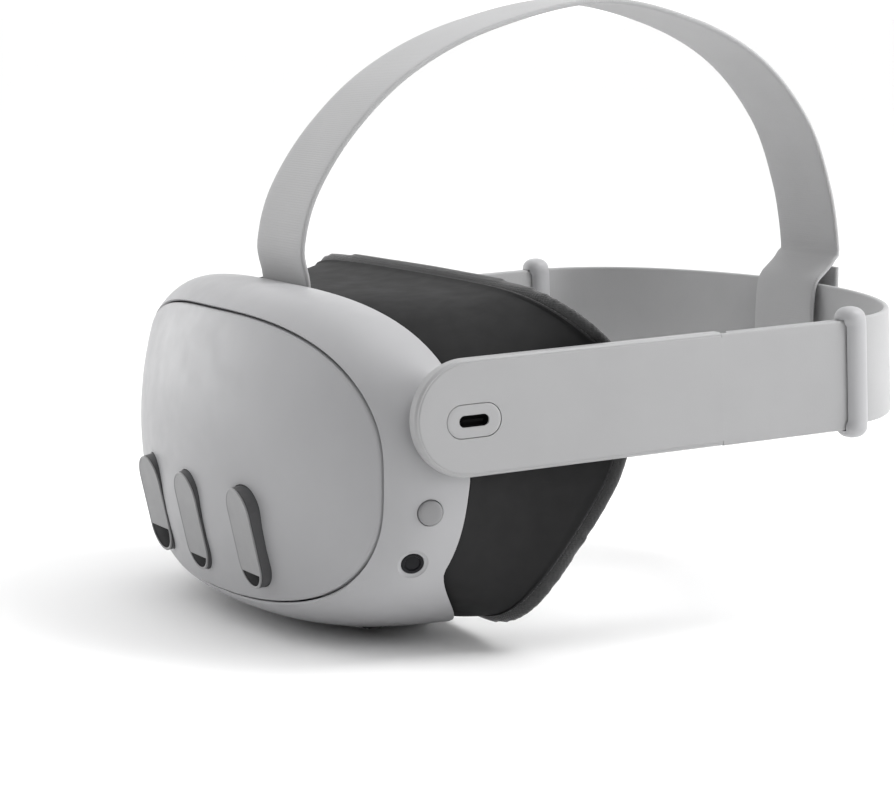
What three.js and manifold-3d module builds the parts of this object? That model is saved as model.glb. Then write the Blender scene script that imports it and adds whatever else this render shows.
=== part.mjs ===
// Visor-style mixed-reality headset: a curved visor with three sensor pods, two stiff side arms that
// tilt, an elastic band round the back of the head and a webbing strap over the top.
// Millimetres. +Z is up, +X is the wearer's left and -Y is the way the headset looks.
// The origin is the middle of the flat patch under the visor that the headset stands on.
import * as THREE from "three";
import { mergeVertices } from "three/addons/utils/BufferGeometryUtils.js";
import Module from "manifold-3d";

const wasm = await Module();
wasm.setup();

// ---------------------------------------------------------------- driving dimensions
const GAP = 0.3; // air between pieces that touch
const RING_POINTS = 36; // points round each visor section
const SIDES = { left: 1, right: -1 };

// The front face bulges forward about a vertical line and falls back at brow and chin.
const FACE = {
  y: -45.2, z: 48, radius: 176, curl: 12, curlHalfWidth: 90, curlPower: 12,
  browFall: 6.95, browSpan: 37, chinFall: 10, chinSpan: 44,
};
// The shut line between the face plate and the shell behind it.
const SEAM = { halfWidth: 79.9, halfHeight: 38.8, z: 47.8, power: 2.7, depth: 3.4 };
const COVER = { wall: 1.8, flange: 4.5 };
// The light shell runs from the seam to its back edge, which sweeps back at the temples and under the
// chin.
const SHELL = {
  halfWidth: 85.7, top: 93.1, bottom: 0, upperPower: 3, lowerPower: 2.6, wall: 2, roundPower: 3.4,
  crown: 1,
  backY: -16.6, templeSweep: 17, sweepHalfWidth: 90, sweepPower: 2.1, lowerTuck: 3.2,
  chinSweep: 34, chinZ: 24, chinPower: 1.5, flatHalfHeight: 1.2,
};
const POD = {
  spacing: 32, z: 27.65, y: -44.0, sideY: -41.9, tilt: 12.9, width: 14.2, height: 28.4, wall: 1.1, depth: 6,
  cap: 0.5, rim: 0.9, floor: 1.2,
  windowCuts: { right: 7.3, center: 4.2, left: 4.5 },
};
const SIDE_CAMERA = { y: -15.8, z: 26.6, lensRadius: 2.9, rimRadius: 4.9, recess: 0.5, depth: 4 };
const POWER_BUTTON = { y: -12.6, z: 40.5, radius: 3.3, dome: 0.9, stem: 3.2 };
const VOLUME_ROCKER = { x: -34, y: -8, length: 18, width: 4.6, height: 3.2, sink: 0.7 };
const IPD_DIAL = { x: 36, y: -6, radius: 9, width: 5, sink: 0.8, teeth: 20 };
const CHARGE_PAD = { x: 14, y: 1, radius: 2.2 };

// The black inner housing that carries the lenses, the arms and the face pad.
const HOUSING = {
  halfWidth: 78.4, top: 87.4, bottom: 6.4, power: 2.6, wall: 2, frontY: -23, backY: -2, plate: 1.8,
  sweep: 6.5,
};
const LENS = {
  x: 32, z: 47, radius: 23.5, barrelWall: 1.2, frontY: -22, backY: 3, travel: 3.25, slotGap: 0.6,
};
const FRAME_Y = -27.5; // front of the metal mid frame
const PROXIMITY_Z = 72; // height of the small window between the lenses
const FAN = { x: 0, z: 57, radius: 15, depth: 5.5, blades: 9 };

// The face pad: a stiff flared wall and the foam cushion on its rim.
const PAD = {
  frontHalfWidth: 84.7, frontTop: 91.5, frontBottom: 1.6, frontUpperPower: 2.8, frontLowerPower: 2.6,
  frontGap: 0.8, rimHalfWidth: 82.8, rimTop: 93.6, rimBottom: 6, rimPower: 6.3, rimY: 31.6, wall: 2,
  waist: 2.5, flarePower: 4.5,
  browBow: -6.85, templeReach: 25.8, templeZ: 64, templeAbove: 33.9, templeBelow: 59.8,
  cheek: -14.3, cheekZ: 45, cheekEase: 0.35, noseRise: 32, noseWidth: 15, strapRelief: 3.2, reliefWidth: 24,
  foam: 4.3, foamWidth: 11, foamSwell: 2.6,
};
// The pad slides in and out of the shell on this inner skirt.
const SKIRT = {
  outer: 2.2, inner: 3.4, depth: 3.3, strapNotch: 42, strapBack: -12.3, pinNotch: 20, pinBack: -1.8,
};

// The arms, side straps and back band share one frame that leans up towards the back.
const BAND = { pivotY: -10.15, pivotZ: 64.8, lean: 2.37 };
const ARM = {
  inner: 86.3, outer: 90.1, height: 30.5, z: -0.25, front: -9.2, end: 82, bevel: 0.9, wall: 1.1, lip: 0.4,
  liner: 0.9, rearRadius: 0.5,
};
const PIVOT = { radius: 4, bushRadius: 7, inner: 70 };
const PORT = { y: 7.5, z: -0.9, width: 15.8, height: 8.9, slotWidth: 8.6, slotHeight: 3.1, audioHole: 3.7 };
const SPEAKER = { y: 30, z: 3, length: 22, height: 9, cone: 3.4 };
const STRAP = {
  height: 29.3, sideHeight: 30.1, sideZ: -0.5, sideOuter: 90, sideInner: 88.4, bandOuter: 88.1,
  bandInner: 86.4, front: 84, bar: 124.4, rearDepth: 41.7, corner: 1.2,
};
const BAR = { width: 8.8, length: 7.9, height: 36, slot: 4.9, slotHeight: 30.8 };

// The top strap: its path in the YZ plane, from the clip on the visor, over the head, down inside the back
// band, round its lower edge and up again outside it.
const TOP_STRAP = { width: 30.4, thickness: 1.5, segments: 72 };
const TOP_STRAP_PATH = [
  [-14.1, 85.9], [-14.5, 94], [-16, 103.5], [-11.7, 118.4], [0.2, 135.6], [18.1, 151.3], [43, 163.1],
  [77, 170.4], [106.9, 165.4], [131.5, 153.7], [148.5, 135.4], [157, 114.9], [160.3, 97], [159.2, 93.9],
  [157.4, 91.5], [155, 89.3], [152.9, 87.2], [151.9, 84], [151.5, 79], [151.2, 71], [151.2, 57.5],
  [155.6, 51.6], [160, 57.5], [160.1, 75], [160.2, 91.2],
];
const ANCHOR = { halfWidth: 20, bottom: 80.5, top: 85.4 };

// ---------------------------------------------------------------- geometry helpers
const lerp = THREE.MathUtils.lerp;
const radians = THREE.MathUtils.degToRad;

function solidOf(geometry) {
  const bare = geometry.clone();
  for (const name of Object.keys(bare.attributes)) if (name !== "position") bare.deleteAttribute(name);
  const merged = mergeVertices(bare, 1e-4);
  const vertProperties = merged.attributes.position.array;
  const triVerts = new Uint32Array(merged.index.array);
  return new wasm.Manifold(new wasm.Mesh({ numProp: 3, vertProperties, triVerts }));
}

function geometryOf(solid) {
  const mesh = solid.getMesh();
  const geometry = new THREE.BufferGeometry();
  geometry.setAttribute("position", new THREE.BufferAttribute(new Float32Array(mesh.vertProperties), 3));
  geometry.setIndex(new THREE.BufferAttribute(new Uint32Array(mesh.triVerts), 1));
  return geometry;
}

function cut(body, ...tools) {
  return geometryOf(tools.reduce((left, tool) => left.subtract(solidOf(tool)), solidOf(body)));
}

function join(body, ...others) {
  return geometryOf(others.reduce((whole, other) => whole.add(solidOf(other)), solidOf(body)));
}

// Skins a list of rings, each the same number of [x, y, z] points. A closed loft joins its last ring to its
// first, as a hollow wall does; an open one has a fan over each end.
function loft(rings, closed = false) {
  const count = rings[0].length;
  const vertices = rings.flat();
  const faces = [];
  const steps = closed ? rings.length : rings.length - 1;
  for (let r = 0; r < steps; r++) {
    const here = r * count;
    const next = ((r + 1) % rings.length) * count;
    for (let i = 0; i < count; i++) {
      const j = (i + 1) % count;
      faces.push([here + i, here + j, next + j], [here + i, next + j, next + i]);
    }
  }
  if (!closed) {
    const middle = (ring) => [0, 1, 2].map((k) => ring.reduce((sum, p) => sum + p[k], 0) / count);
    const last = (rings.length - 1) * count;
    vertices.push(middle(rings[0]), middle(rings.at(-1)));
    for (let i = 0; i < count; i++) {
      const j = (i + 1) % count;
      faces.push([j, i, vertices.length - 2], [last + i, last + j, vertices.length - 1]);
    }
  }
  return facedOutwards(vertices, faces);
}

function facedOutwards(vertices, faces) {
  const points = vertices.map((p) => new THREE.Vector3(...p));
  const corner = ([a, b, c]) => points[a].dot(points[b].clone().cross(points[c]));
  const volume = faces.reduce((sum, face) => sum + corner(face), 0);
  const index = volume < 0 ? faces.map(([a, b, c]) => [a, c, b]) : faces;
  const geometry = new THREE.BufferGeometry();
  geometry.setAttribute("position", new THREE.Float32BufferAttribute(vertices.flat(), 3));
  geometry.setIndex(index.flat());
  return geometry;
}

// The points [u, v] of a superellipse, from +u counter-clockwise. Its upper half may be squarer or rounder.
function superellipse(halfWidth, halfHeight, power, count = RING_POINTS, upperPower = power) {
  return Array.from({ length: count }, (_, i) => {
    const c = Math.cos((2 * Math.PI * i) / count);
    const s = Math.sin((2 * Math.PI * i) / count);
    const p = s > 0 ? upperPower : power;
    const reach = (Math.abs(c) ** p + Math.abs(s) ** p) ** (-1 / p);
    return [halfWidth * c * reach, halfHeight * s * reach];
  });
}

function stadium(width, height, segments = 5) {
  const radius = Math.min(width, height) / 2;
  const across = width / 2 - radius;
  const up = height / 2 - radius;
  const points = [];
  for (const [turn, sx, sy] of [[0, 1, 1], [1, -1, 1], [2, -1, -1], [3, 1, -1]])
    for (let i = 0; i <= segments; i++) {
      const angle = (Math.PI / 2) * (turn + i / segments);
      points.push([sx * across + radius * Math.cos(angle), sy * up + radius * Math.sin(angle)]);
    }
  return points.filter((p, i) => {
    const q = points[(i + 1) % points.length];
    return Math.hypot(p[0] - q[0], p[1] - q[1]) > 1e-6;
  });
}

// A flat outline [u, v] extruded along w, with [u, v, w] turned into [x, y, z] by place.
function prism(outline, from, to, place = (u, v, w) => [u, v, w]) {
  const shape = new THREE.Shape(outline.map(([u, v]) => new THREE.Vector2(u, v)));
  const geometry = new THREE.ExtrudeGeometry(shape, { depth: to - from, bevelEnabled: false });
  const bare = mergeVertices(withoutExtras(geometry), 1e-5);
  const p = bare.attributes.position;
  const vertices = Array.from({ length: p.count }, (_, i) => place(p.getX(i), p.getY(i), p.getZ(i) + from));
  const index = Array.from(bare.index.array);
  const faces = Array.from({ length: index.length / 3 }, (_, i) => index.slice(3 * i, 3 * i + 3));
  return facedOutwards(vertices, faces);
}

function withoutExtras(geometry) {
  geometry.deleteAttribute("normal");
  geometry.deleteAttribute("uv");
  return geometry;
}

const alongX = (u, v, w) => [w, u, v]; // outline in YZ
const alongY = (u, v, w) => [u, w, v]; // outline in XZ

function box(width, depth, height, x = 0, y = 0, z = 0) {
  return new THREE.BoxGeometry(width, depth, height).translate(x, y, z);
}

// A cylinder from one point towards a direction.
function rod(radius, start, direction, length, segments = 16) {
  const geometry = new THREE.CylinderGeometry(radius, radius, length, segments).translate(0, length / 2, 0);
  return aim(geometry, start, direction);
}

function aim(geometry, start, direction) {
  const way = new THREE.Vector3(...direction).normalize();
  const turn = new THREE.Quaternion().setFromUnitVectors(new THREE.Vector3(0, 1, 0), way);
  return geometry.applyQuaternion(turn).translate(...start);
}

function lathe(profile, segments) {
  return new THREE.LatheGeometry(profile.map((p) => new THREE.Vector2(...p)), segments);
}

// A disc with a hole, as a closed lathe profile about a direction.
function washer(inner, outer, start, direction, length, segments = 16) {
  const profile = [[inner, 0], [outer, 0], [outer, length], [inner, length], [inner, 0]];
  return aim(lathe(profile, segments), start, direction);
}

function outsetPath(path, half) {
  const side = (sign) => path.map((p, i) => {
    const a = path[Math.max(0, i - 1)];
    const b = path[Math.min(path.length - 1, i + 1)];
    const length = Math.hypot(b[0] - a[0], b[1] - a[1]);
    return [p[0] - (sign * half * (b[1] - a[1])) / length, p[1] + (sign * half * (b[0] - a[0])) / length];
  });
  return [...side(1), ...side(-1).reverse()];
}

// ---------------------------------------------------------------- materials
function finish(color, roughness, metalness = 0) {
  return new THREE.MeshStandardMaterial({ color, roughness, metalness });
}
const LIGHT = finish(0xb4b4b6, 0.45);
const LIGHT_ARM = finish(0xaeaeb0, 0.5);
const POD_DARK = finish(0x4c4c4e, 0.6);
const BLACK = finish(0x1c1c1e, 0.6);
const PAD_GREY = finish(0x3a3a3b, 0.7);
const FOAM = finish(0x2c2c2e, 0.95);
const WEBBING = finish(0xb0b0b2, 0.9);
const GLASS = finish(0x30343a, 0.05);
const METAL = finish(0x9a9ca0, 0.35, 1);
const BOARD = finish(0x1f4a34, 0.5);
const CELL = finish(0x6b6d70, 0.4, 0.3);

const headset = new THREE.Group();
const visor = new THREE.Group();
const headband = new THREE.Group();
headband.position.set(0, BAND.pivotY, BAND.pivotZ);
headband.rotation.x = radians(BAND.lean);
headset.add(visor, headband);

function add(group, name, geometry, material) {
  const mesh = new THREE.Mesh(geometry, material);
  mesh.name = name;
  group.add(mesh);
}

// ---------------------------------------------------------------- visor surfaces
function faceY(x, z) {
  const above = z - FACE.z;
  const browFall = FACE.browFall * (above / FACE.browSpan) ** 2;
  const chinFall = FACE.chinFall * (above / FACE.chinSpan) ** 2;
  const curl = FACE.curl * (Math.abs(x) / FACE.curlHalfWidth) ** FACE.curlPower;
  return FACE.y + x ** 2 / (2 * FACE.radius) + curl + (above > 0 ? browFall : chinFall);
}

function sweptBack(x, sweep) {
  return sweep * (Math.abs(x) / SHELL.sweepHalfWidth) ** SHELL.sweepPower;
}

function shellBackY(x, z) {
  const chin = Math.max(0, (SHELL.chinZ - z) / SHELL.chinZ);
  const tuck = SHELL.lowerTuck * Math.min(1, Math.max(0, (SEAM.z - z) / (SEAM.z - SHELL.chinZ)));
  return SHELL.backY + sweptBack(x, SHELL.templeSweep) - tuck + SHELL.chinSweep * chin ** SHELL.chinPower;
}

function seamRing(inset = 0) {
  const ring = superellipse(SEAM.halfWidth - inset, SEAM.halfHeight - inset, SEAM.power);
  return ring.map(([x, v]) => [x, v + SEAM.z]);
}

// A section of the shell, w = 0 at the seam and 1 at the back edge.
function shellRing(w, inset = 0) {
  const out = 1 - (1 - w) ** SHELL.roundPower;
  const crown = SHELL.crown * Math.sin(Math.PI * w);
  const halfWidth = lerp(SEAM.halfWidth, SHELL.halfWidth, out) - inset;
  const top = lerp(SEAM.z + SEAM.halfHeight, SHELL.top, out) + crown - inset;
  const bottom = lerp(SEAM.z - SEAM.halfHeight, SHELL.bottom - SHELL.flatHalfHeight, out) + inset;
  const middle = (top + bottom) / 2;
  const seam = seamRing();
  const upperPower = lerp(SEAM.power, SHELL.upperPower, w);
  const lowerPower = lerp(SEAM.power, SHELL.lowerPower, w);
  const ring = superellipse(halfWidth, (top - bottom) / 2, lowerPower, RING_POINTS, upperPower);
  return ring.map(([x, v], i) => {
    const z = Math.max(middle + v, SHELL.bottom + inset);
    return [x, lerp(faceY(...seam[i]), shellBackY(x, z), w), z];
  });
}

// The place and outward direction of the shell's side at a height and depth.
function shellSide(y, z) {
  const steps = 40;
  const rings = Array.from({ length: steps + 1 }, (_, i) => shellRing(i / steps));
  const all = rings.flatMap((ring, r) => ring.map((p, i) => ({ p, r, i })));
  const points = all.filter(({ p, r }) => p[0] > 0 && r > 0 && r < steps);
  const distance = ({ p }) => Math.hypot(p[1] - y, p[2] - z);
  const best = points.reduce((a, b) => (distance(b) < distance(a) ? b : a));
  const at = (r, i) => new THREE.Vector3(...rings[r][(i + RING_POINTS) % RING_POINTS]);
  const along = at(best.r + 1, best.i).sub(at(best.r - 1, best.i));
  const around = at(best.r, best.i + 1).sub(at(best.r, best.i - 1));
  const normal = along.cross(around).normalize();
  if (normal.x < 0) normal.negate();
  const slope = (normal.y * (y - best.p[1]) + normal.z * (z - best.p[2])) / normal.x;
  return { point: new THREE.Vector3(best.p[0] - slope, y, z), normal };
}

const stepFrom = (place, distance) => place.point.clone().addScaledVector(place.normal, distance).toArray();
const mirrored = (v, side) => [side * v[0], v[1], v[2]];

// ---------------------------------------------------------------- face plate and sensor pods
function podPlace(index) {
  const x = index * POD.spacing;
  const y = index === 0 ? POD.y : POD.sideY;
  const tilt = radians(POD.tilt);
  const c = Math.cos(tilt);
  const s = Math.sin(tilt);
  return (u, v, w) => [x + u, y + w * c - v * s, POD.z + v * c + w * s];
}

function frontCover() {
  const shrink = [0.97, 0.85, 0.6, 0.3];
  const face = (share, ring, deep) => ring.map(([x, z]) => {
    const sx = x * share;
    const sz = SEAM.z + (z - SEAM.z) * share;
    return [sx, faceY(sx, sz) + deep, sz];
  });
  const outer = seamRing(GAP / 2);
  const inner = seamRing(COVER.wall + GAP / 2);
  const rings = [
    ...shrink.map((share) => face(share, outer, 0)).reverse(),
    face(1, outer, 0.6),
    face(1, outer, COVER.flange),
    face(1, inner, COVER.flange),
    face(1, inner, COVER.wall + 0.6),
    ...shrink.slice(1).map((share) => face(share, inner, COVER.wall)),
  ];
  const opening = stadium(POD.width + 2 * GAP, POD.height + 2 * GAP);
  const holes = [-1, 0, 1].map((index) => prism(opening, -10, 15, podPlace(index)));
  return cut(loft(rings), ...holes);
}

// A pod: a hollow wall, a flat cap with its lower end cut out, and the window that fills the cut.
function sensorPod(index, side) {
  const place = podPlace(index);
  const outline = (inset) => stadium(POD.width - 2 * inset, POD.height - 2 * inset);
  const wallTube = prism(outline(0), POD.cap + GAP, POD.depth, place);
  const bore = prism(outline(POD.wall), -1, POD.depth - POD.floor, place);
  add(visor, `pod_housing_${side}`, cut(wallTube, bore), POD_DARK);
  const edge = -POD.height / 2 + POD.windowCuts[side];
  const lower = [[-POD.width, -POD.height], [POD.width, -POD.height], [POD.width, edge], [-POD.width, edge]];
  const below = (drop) => prism(lower.map(([u, v]) => [u, v - drop]), -1, 2, place);
  const opening = geometryOf(solidOf(prism(outline(POD.rim), -1, 2, place)).intersect(solidOf(below(0))));
  add(visor, `pod_cap_${side}`, cut(prism(outline(0), 0, POD.cap, place), opening), LIGHT);
  const pane = prism(outline(POD.rim + GAP), 0.1, POD.cap - 0.05, place);
  add(visor, `pod_window_${side}`, geometryOf(solidOf(pane).intersect(solidOf(below(GAP)))), GLASS);
}

function sensorBar() {
  const y = FACE.y + 13.2;
  const bar = prism(stadium(86, 13), y, y + 1.6, (u, v, w) => [u, w, v + POD.z + 1.5]);
  const place = (index) => [index * POD.spacing, y + 0.5, POD.z + 1.5];
  const cameras = [-1, 0, 1].map((index) => rod(3.6, place(index), [0, -1, 0], 3, 16));
  return join(bar, ...cameras);
}

// ---------------------------------------------------------------- light shell and what is set in it
function frontShell() {
  const outer = [0, 0.05, 0.16, 0.36, 0.64, 1].map((w) => shellRing(w));
  const inner = [1, 0.6, 0.3].map((w) => shellRing(w, SHELL.wall));
  const seam = seamRing(-GAP);
  outer[0] = seam.map(([x, z]) => [x, faceY(x, z) + 0.5, z]);
  const lip = seam.map(([x, z]) => [x, faceY(x, z) + SEAM.depth, z]);
  const camera = shellSide(SIDE_CAMERA.y, SIDE_CAMERA.z);
  const button = shellSide(POWER_BUTTON.y, POWER_BUTTON.z);
  const tools = [];
  for (const side of Object.values(SIDES)) {
    const out = mirrored(camera.normal.toArray(), side);
    tools.push(rod(SIDE_CAMERA.rimRadius, mirrored(stepFrom(camera, -SIDE_CAMERA.recess), side), out, 4));
    tools.push(rod(SIDE_CAMERA.lensRadius + GAP, mirrored(stepFrom(camera, -5), side), out, 8));
    tools.push(rod(PIVOT.radius + 0.6, [side * 70, BAND.pivotY, BAND.pivotZ], [side, 0, 0], 30));
  }
  tools.push(rod(POWER_BUTTON.radius + GAP, stepFrom(button, -5), button.normal.toArray(), 8));
  const rocker = stadium(VOLUME_ROCKER.length + 1, VOLUME_ROCKER.width + 1);
  tools.push(prism(rocker, -2, 5, (u, v, w) => [u + VOLUME_ROCKER.x, v + VOLUME_ROCKER.y, w]));
  tools.push(box(17, IPD_DIAL.width + 1.4, 10, IPD_DIAL.x, IPD_DIAL.y, 0));
  for (const side of Object.values(SIDES))
    tools.push(rod(CHARGE_PAD.radius + GAP, [side * CHARGE_PAD.x, CHARGE_PAD.y, -2], [0, 0, 1], 6, 16));
  return cut(loft([...outer, ...inner, lip], true), ...tools);
}

function sideCamera(side) {
  const camera = shellSide(SIDE_CAMERA.y, SIDE_CAMERA.z);
  const out = mirrored(camera.normal.toArray(), side);
  const { lensRadius, recess, depth } = SIDE_CAMERA;
  const barrel = rod(lensRadius, mirrored(stepFrom(camera, -recess - depth), side), out, depth);
  const bowl = rod(lensRadius - 0.9, mirrored(stepFrom(camera, -recess - 0.5), side), out, 1);
  return cut(barrel, bowl);
}

function powerButton() {
  const place = shellSide(POWER_BUTTON.y, POWER_BUTTON.z);
  const { radius, dome, stem } = POWER_BUTTON;
  const profile = [
    [0, -stem], [radius, -stem], [radius, 0.1], [radius * 0.9, 0.45 * dome], [radius * 0.6, 0.85 * dome],
    [0, dome],
  ];
  return aim(lathe(profile, 16), place.point.toArray(), place.normal.toArray());
}

function volumeRocker() {
  const { x, y, length, width, height, sink } = VOLUME_ROCKER;
  const body = prism(stadium(length, width), sink, sink + height, (u, v, w) => [u + x, v + y, w]);
  const dip = rod(9, [x, y - 10, sink - 8.3], [0, 1, 0], 20, 48);
  return cut(body, dip);
}

function ipdDial() {
  const { x, y, radius, width, sink, teeth } = IPD_DIAL;
  const outline = Array.from({ length: 2 * teeth }, (_, i) => {
    const r = i % 2 ? radius - 0.55 : radius;
    return [r * Math.cos((Math.PI * i) / teeth), r * Math.sin((Math.PI * i) / teeth)];
  });
  const centre = sink + radius;
  const wheel = prism(outline, y - width / 2, y + width / 2, (u, v, w) => [u + x, w, v + centre]);
  const axle = rod(1.4, [x, y - width / 2 - 2, centre], [0, 1, 0], width + 4, 10);
  return join(wheel, axle);
}

// ---------------------------------------------------------------- inner housing
function housingRing(y, inset = 0) {
  const half = (HOUSING.top - HOUSING.bottom) / 2 - inset;
  const middle = (HOUSING.top + HOUSING.bottom) / 2;
  return superellipse(HOUSING.halfWidth - inset, half, HOUSING.power, 36).map(([x, v]) => {
    return [x, y + sweptBack(x, HOUSING.sweep), middle + v];
  });
}

function lensSlots(radius, travel, from, to) {
  return [-1, 1].map((side) => {
    const outline = stadium(2 * (radius + travel), 2 * radius, 6);
    return prism(outline, from, to, (u, v, w) => [u + side * LENS.x, w, v + LENS.z]);
  });
}

function rearHousing() {
  const plateY = HOUSING.backY;
  const wall = [
    housingRing(HOUSING.frontY), housingRing(plateY + HOUSING.plate), housingRing(plateY + HOUSING.plate, 4),
    housingRing(plateY, 4), housingRing(plateY, HOUSING.wall), housingRing(HOUSING.frontY, HOUSING.wall),
  ];
  const plate = loft([housingRing(plateY, 3), housingRing(plateY + HOUSING.plate, 3)]);
  const noseRelief = prism(stadium(26, 60), -10, 12, (u, v, w) => [u, w, v - 4]);
  const tools = [
    ...lensSlots(LENS.radius + LENS.slotGap, LENS.travel, -20, 20),
    box(2 * (ANCHOR.halfWidth + GAP), 14, 20, 0, -16.5, ANCHOR.bottom + 10 - GAP),
    prism(stadium(4.6, 2.8), -20, 20, (u, v, w) => [u, w, v + PROXIMITY_Z]),
    box(2 * IPD_DIAL.radius + 2, IPD_DIAL.width + 8, 30, IPD_DIAL.x, IPD_DIAL.y, 6),
    box(VOLUME_ROCKER.length + 3, VOLUME_ROCKER.width + 3, 12, VOLUME_ROCKER.x, VOLUME_ROCKER.y, 4),
  ];
  for (const side of Object.values(SIDES))
    tools.push(rod(PIVOT.bushRadius + GAP, [side * 66, BAND.pivotY, BAND.pivotZ], [side, 0, 0], 24));
  return cut(join(loft(wall, true), plate), noseRelief, ...tools);
}

function proximityWindow() {
  const front = HOUSING.backY - 0.2;
  return prism(stadium(4, 2.2), front, front + HOUSING.plate, (u, v, w) => [u, w, v + PROXIMITY_Z]);
}

function strapAnchor() {
  const width = 2 * ANCHOR.halfWidth;
  const height = ANCHOR.top - ANCHOR.bottom;
  const bar = box(width, 5, height, 0, -14, ANCHOR.bottom + height / 2);
  const groove = box(TOP_STRAP.width + 1.2, TOP_STRAP.thickness + 1, 3, 0, -14.2, ANCHOR.top);
  return cut(bar, groove);
}

function midFrame() {
  const outline = superellipse(70, 33, 3, 36);
  const plate = prism(outline, FRAME_Y, FRAME_Y + 1.4, (u, v, w) => [u, w, v + LENS.z + 2]);
  const opening = stadium(30, 30);
  const windows = [-1, 1].map((side) => prism(opening, -40, 0, (u, v, w) => [u + 42 * side, w, v + LENS.z]));
  return cut(plate, ...windows);
}

function mainboard() {
  const y = FRAME_Y - 2.2;
  const board = box(96, 1.2, 26, 0, y, 61);
  const chips = [[-34, 14, 12], [34, 16, 10], [-12, 10, 10], [12, 10, 10]];
  return join(board, ...chips.map(([x, w, h]) => box(w, 1.8, h, x, y + 0.9, 61)));
}

function fanHousing() {
  const y = FRAME_Y - 4.2 - FAN.depth;
  const outline = superellipse(FAN.radius + 3, FAN.radius + 3, 3, 28);
  const outer = prism(outline, y, y + FAN.depth, (u, v, w) => [u + FAN.x, w, v + FAN.z]);
  const bore = rod(FAN.radius + 0.8, [FAN.x, y - 1, FAN.z], [0, 1, 0], FAN.depth - 0.2, 28);
  const hub = rod(2, [FAN.x, y + 1, FAN.z], [0, 1, 0], FAN.depth - 1.5, 12);
  const outlet = box(16, FAN.depth - 2.4, 12, FAN.x, y + FAN.depth / 2 - 0.2, FAN.z + FAN.radius);
  return join(cut(outer, bore, outlet), hub);
}

function fanRotor() {
  const y = FRAME_Y - 4.2 - FAN.depth + 0.8;
  const hub = washer(2.3, 6.6, [FAN.x, y, FAN.z], [0, 1, 0], 3.2, 16);
  const blades = Array.from({ length: FAN.blades }, (_, i) => {
    const blade = box(FAN.radius - 6, 3, 0.9, (FAN.radius + 6) / 2 - 0.2, y + 1.6, 0);
    return blade.rotateY((2 * Math.PI * i) / FAN.blades).translate(FAN.x, 0, FAN.z);
  });
  return join(hub, ...blades);
}

function heatSink() {
  const base = box(18, 1.4, 22);
  const fins = [-8, -4, 0, 4, 8].map((x) => box(1.2, 2.6, 22, x, -1.8, 0));
  return join(base, ...fins).translate(34, FRAME_Y - 4, 59);
}

function batteryPack() {
  return prism(stadium(9.5, 6.8, 4), -31, 31, (u, v, w) => [w, u - 16, v + 75.4]);
}

function lensSet(side, name) {
  const x = side * LENS.x;
  const depth = LENS.backY - LENS.frontY;
  const profile = [
    [LENS.radius - 8, 0], [LENS.radius - 2, 0], [LENS.radius, 5], [LENS.radius, depth],
    [LENS.radius - LENS.barrelWall, depth], [LENS.radius - LENS.barrelWall, 6], [LENS.radius - 8, 2],
    [LENS.radius - 8, 0],
  ];
  const barrel = lathe(profile, 22);
  const stand = LENS.radius - LENS.barrelWall - GAP;
  add(visor, `lens_barrel_${name}`, aim(barrel, [x, LENS.frontY, LENS.z], [0, 1, 0]), BLACK);
  const dome = [[0, 0], [stand - 1.5, 0], [stand, 1.4], [stand, 3], [stand * 0.7, 4.6], [0, 5.4]];
  add(visor, `lens_${name}`, aim(lathe(dome, 22), [x, LENS.backY - 8, LENS.z], [0, 1, 0]), GLASS);
  add(visor, `display_${name}`, box(31, 1.2, 31, x, LENS.frontY - 1.2, LENS.z), BLACK);
}

// ---------------------------------------------------------------- face pad
// The outline of the face pad from the front, w = 0 where it meets the visor and 1 at the rim.
function padOutline(w, inset) {
  const waist = PAD.waist * Math.sin(Math.PI * w);
  const halfWidth = lerp(PAD.frontHalfWidth, PAD.rimHalfWidth, w) - waist - inset;
  const top = lerp(PAD.frontTop, PAD.rimTop, w ** PAD.flarePower) - inset;
  const bottom = lerp(PAD.frontBottom, PAD.rimBottom, w) + inset;
  const middle = (top + bottom) / 2;
  const half = (top - bottom) / 2;
  const upperPower = lerp(PAD.frontUpperPower, PAD.rimPower, w);
  const lowerPower = lerp(PAD.frontLowerPower, PAD.rimPower, w);
  const noseShare = (PAD.noseRise + inset) * Math.min(1, w * 1.15) ** 1.5;
  return superellipse(halfWidth, half, lowerPower, RING_POINTS, upperPower).map(([x, v]) => {
    const bridge = Math.exp(-((x / (PAD.noseWidth + inset)) ** 2));
    return [x, middle + v + (v < 0 ? (noseShare * bridge * -v) / half : 0)];
  });
}

// A section of the face pad: its outline set in, at the depth of the outline that is not.
function padRing(w, inset = 0, forward = 0) {
  const outer = padOutline(w, 0);
  return padOutline(w, inset).map(([x, z], i) => {
    const relief = i < RING_POINTS / 2 ? PAD.strapRelief * Math.exp(-((x / PAD.reliefWidth) ** 4)) : 0;
    const front = shellBackY(...outer[i]) + PAD.frontGap + relief;
    return [x, lerp(front, padRimY(...outer[i]) - forward, w), z];
  });
}

// How far back the rim reaches: furthest at the temples, and less down the cheeks.
function padRimY(x, z) {
  const across = Math.abs(x) / PAD.rimHalfWidth;
  const above = z > PAD.templeZ;
  const away = Math.abs(z - PAD.templeZ) / (above ? PAD.templeAbove : PAD.templeBelow);
  const level = Math.max(0, 1 - away ** (above ? 1.8 : 1.3));
  const down = Math.min(1, Math.max(0, (PAD.cheekZ - z) / PAD.cheekZ));
  const cheek = PAD.cheek * (down * (1 - PAD.cheekEase * down ** 2)) ** 1.2;
  return PAD.rimY + PAD.browBow * across ** 2 + PAD.templeReach * across ** 3 * level + cheek;
}

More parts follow.
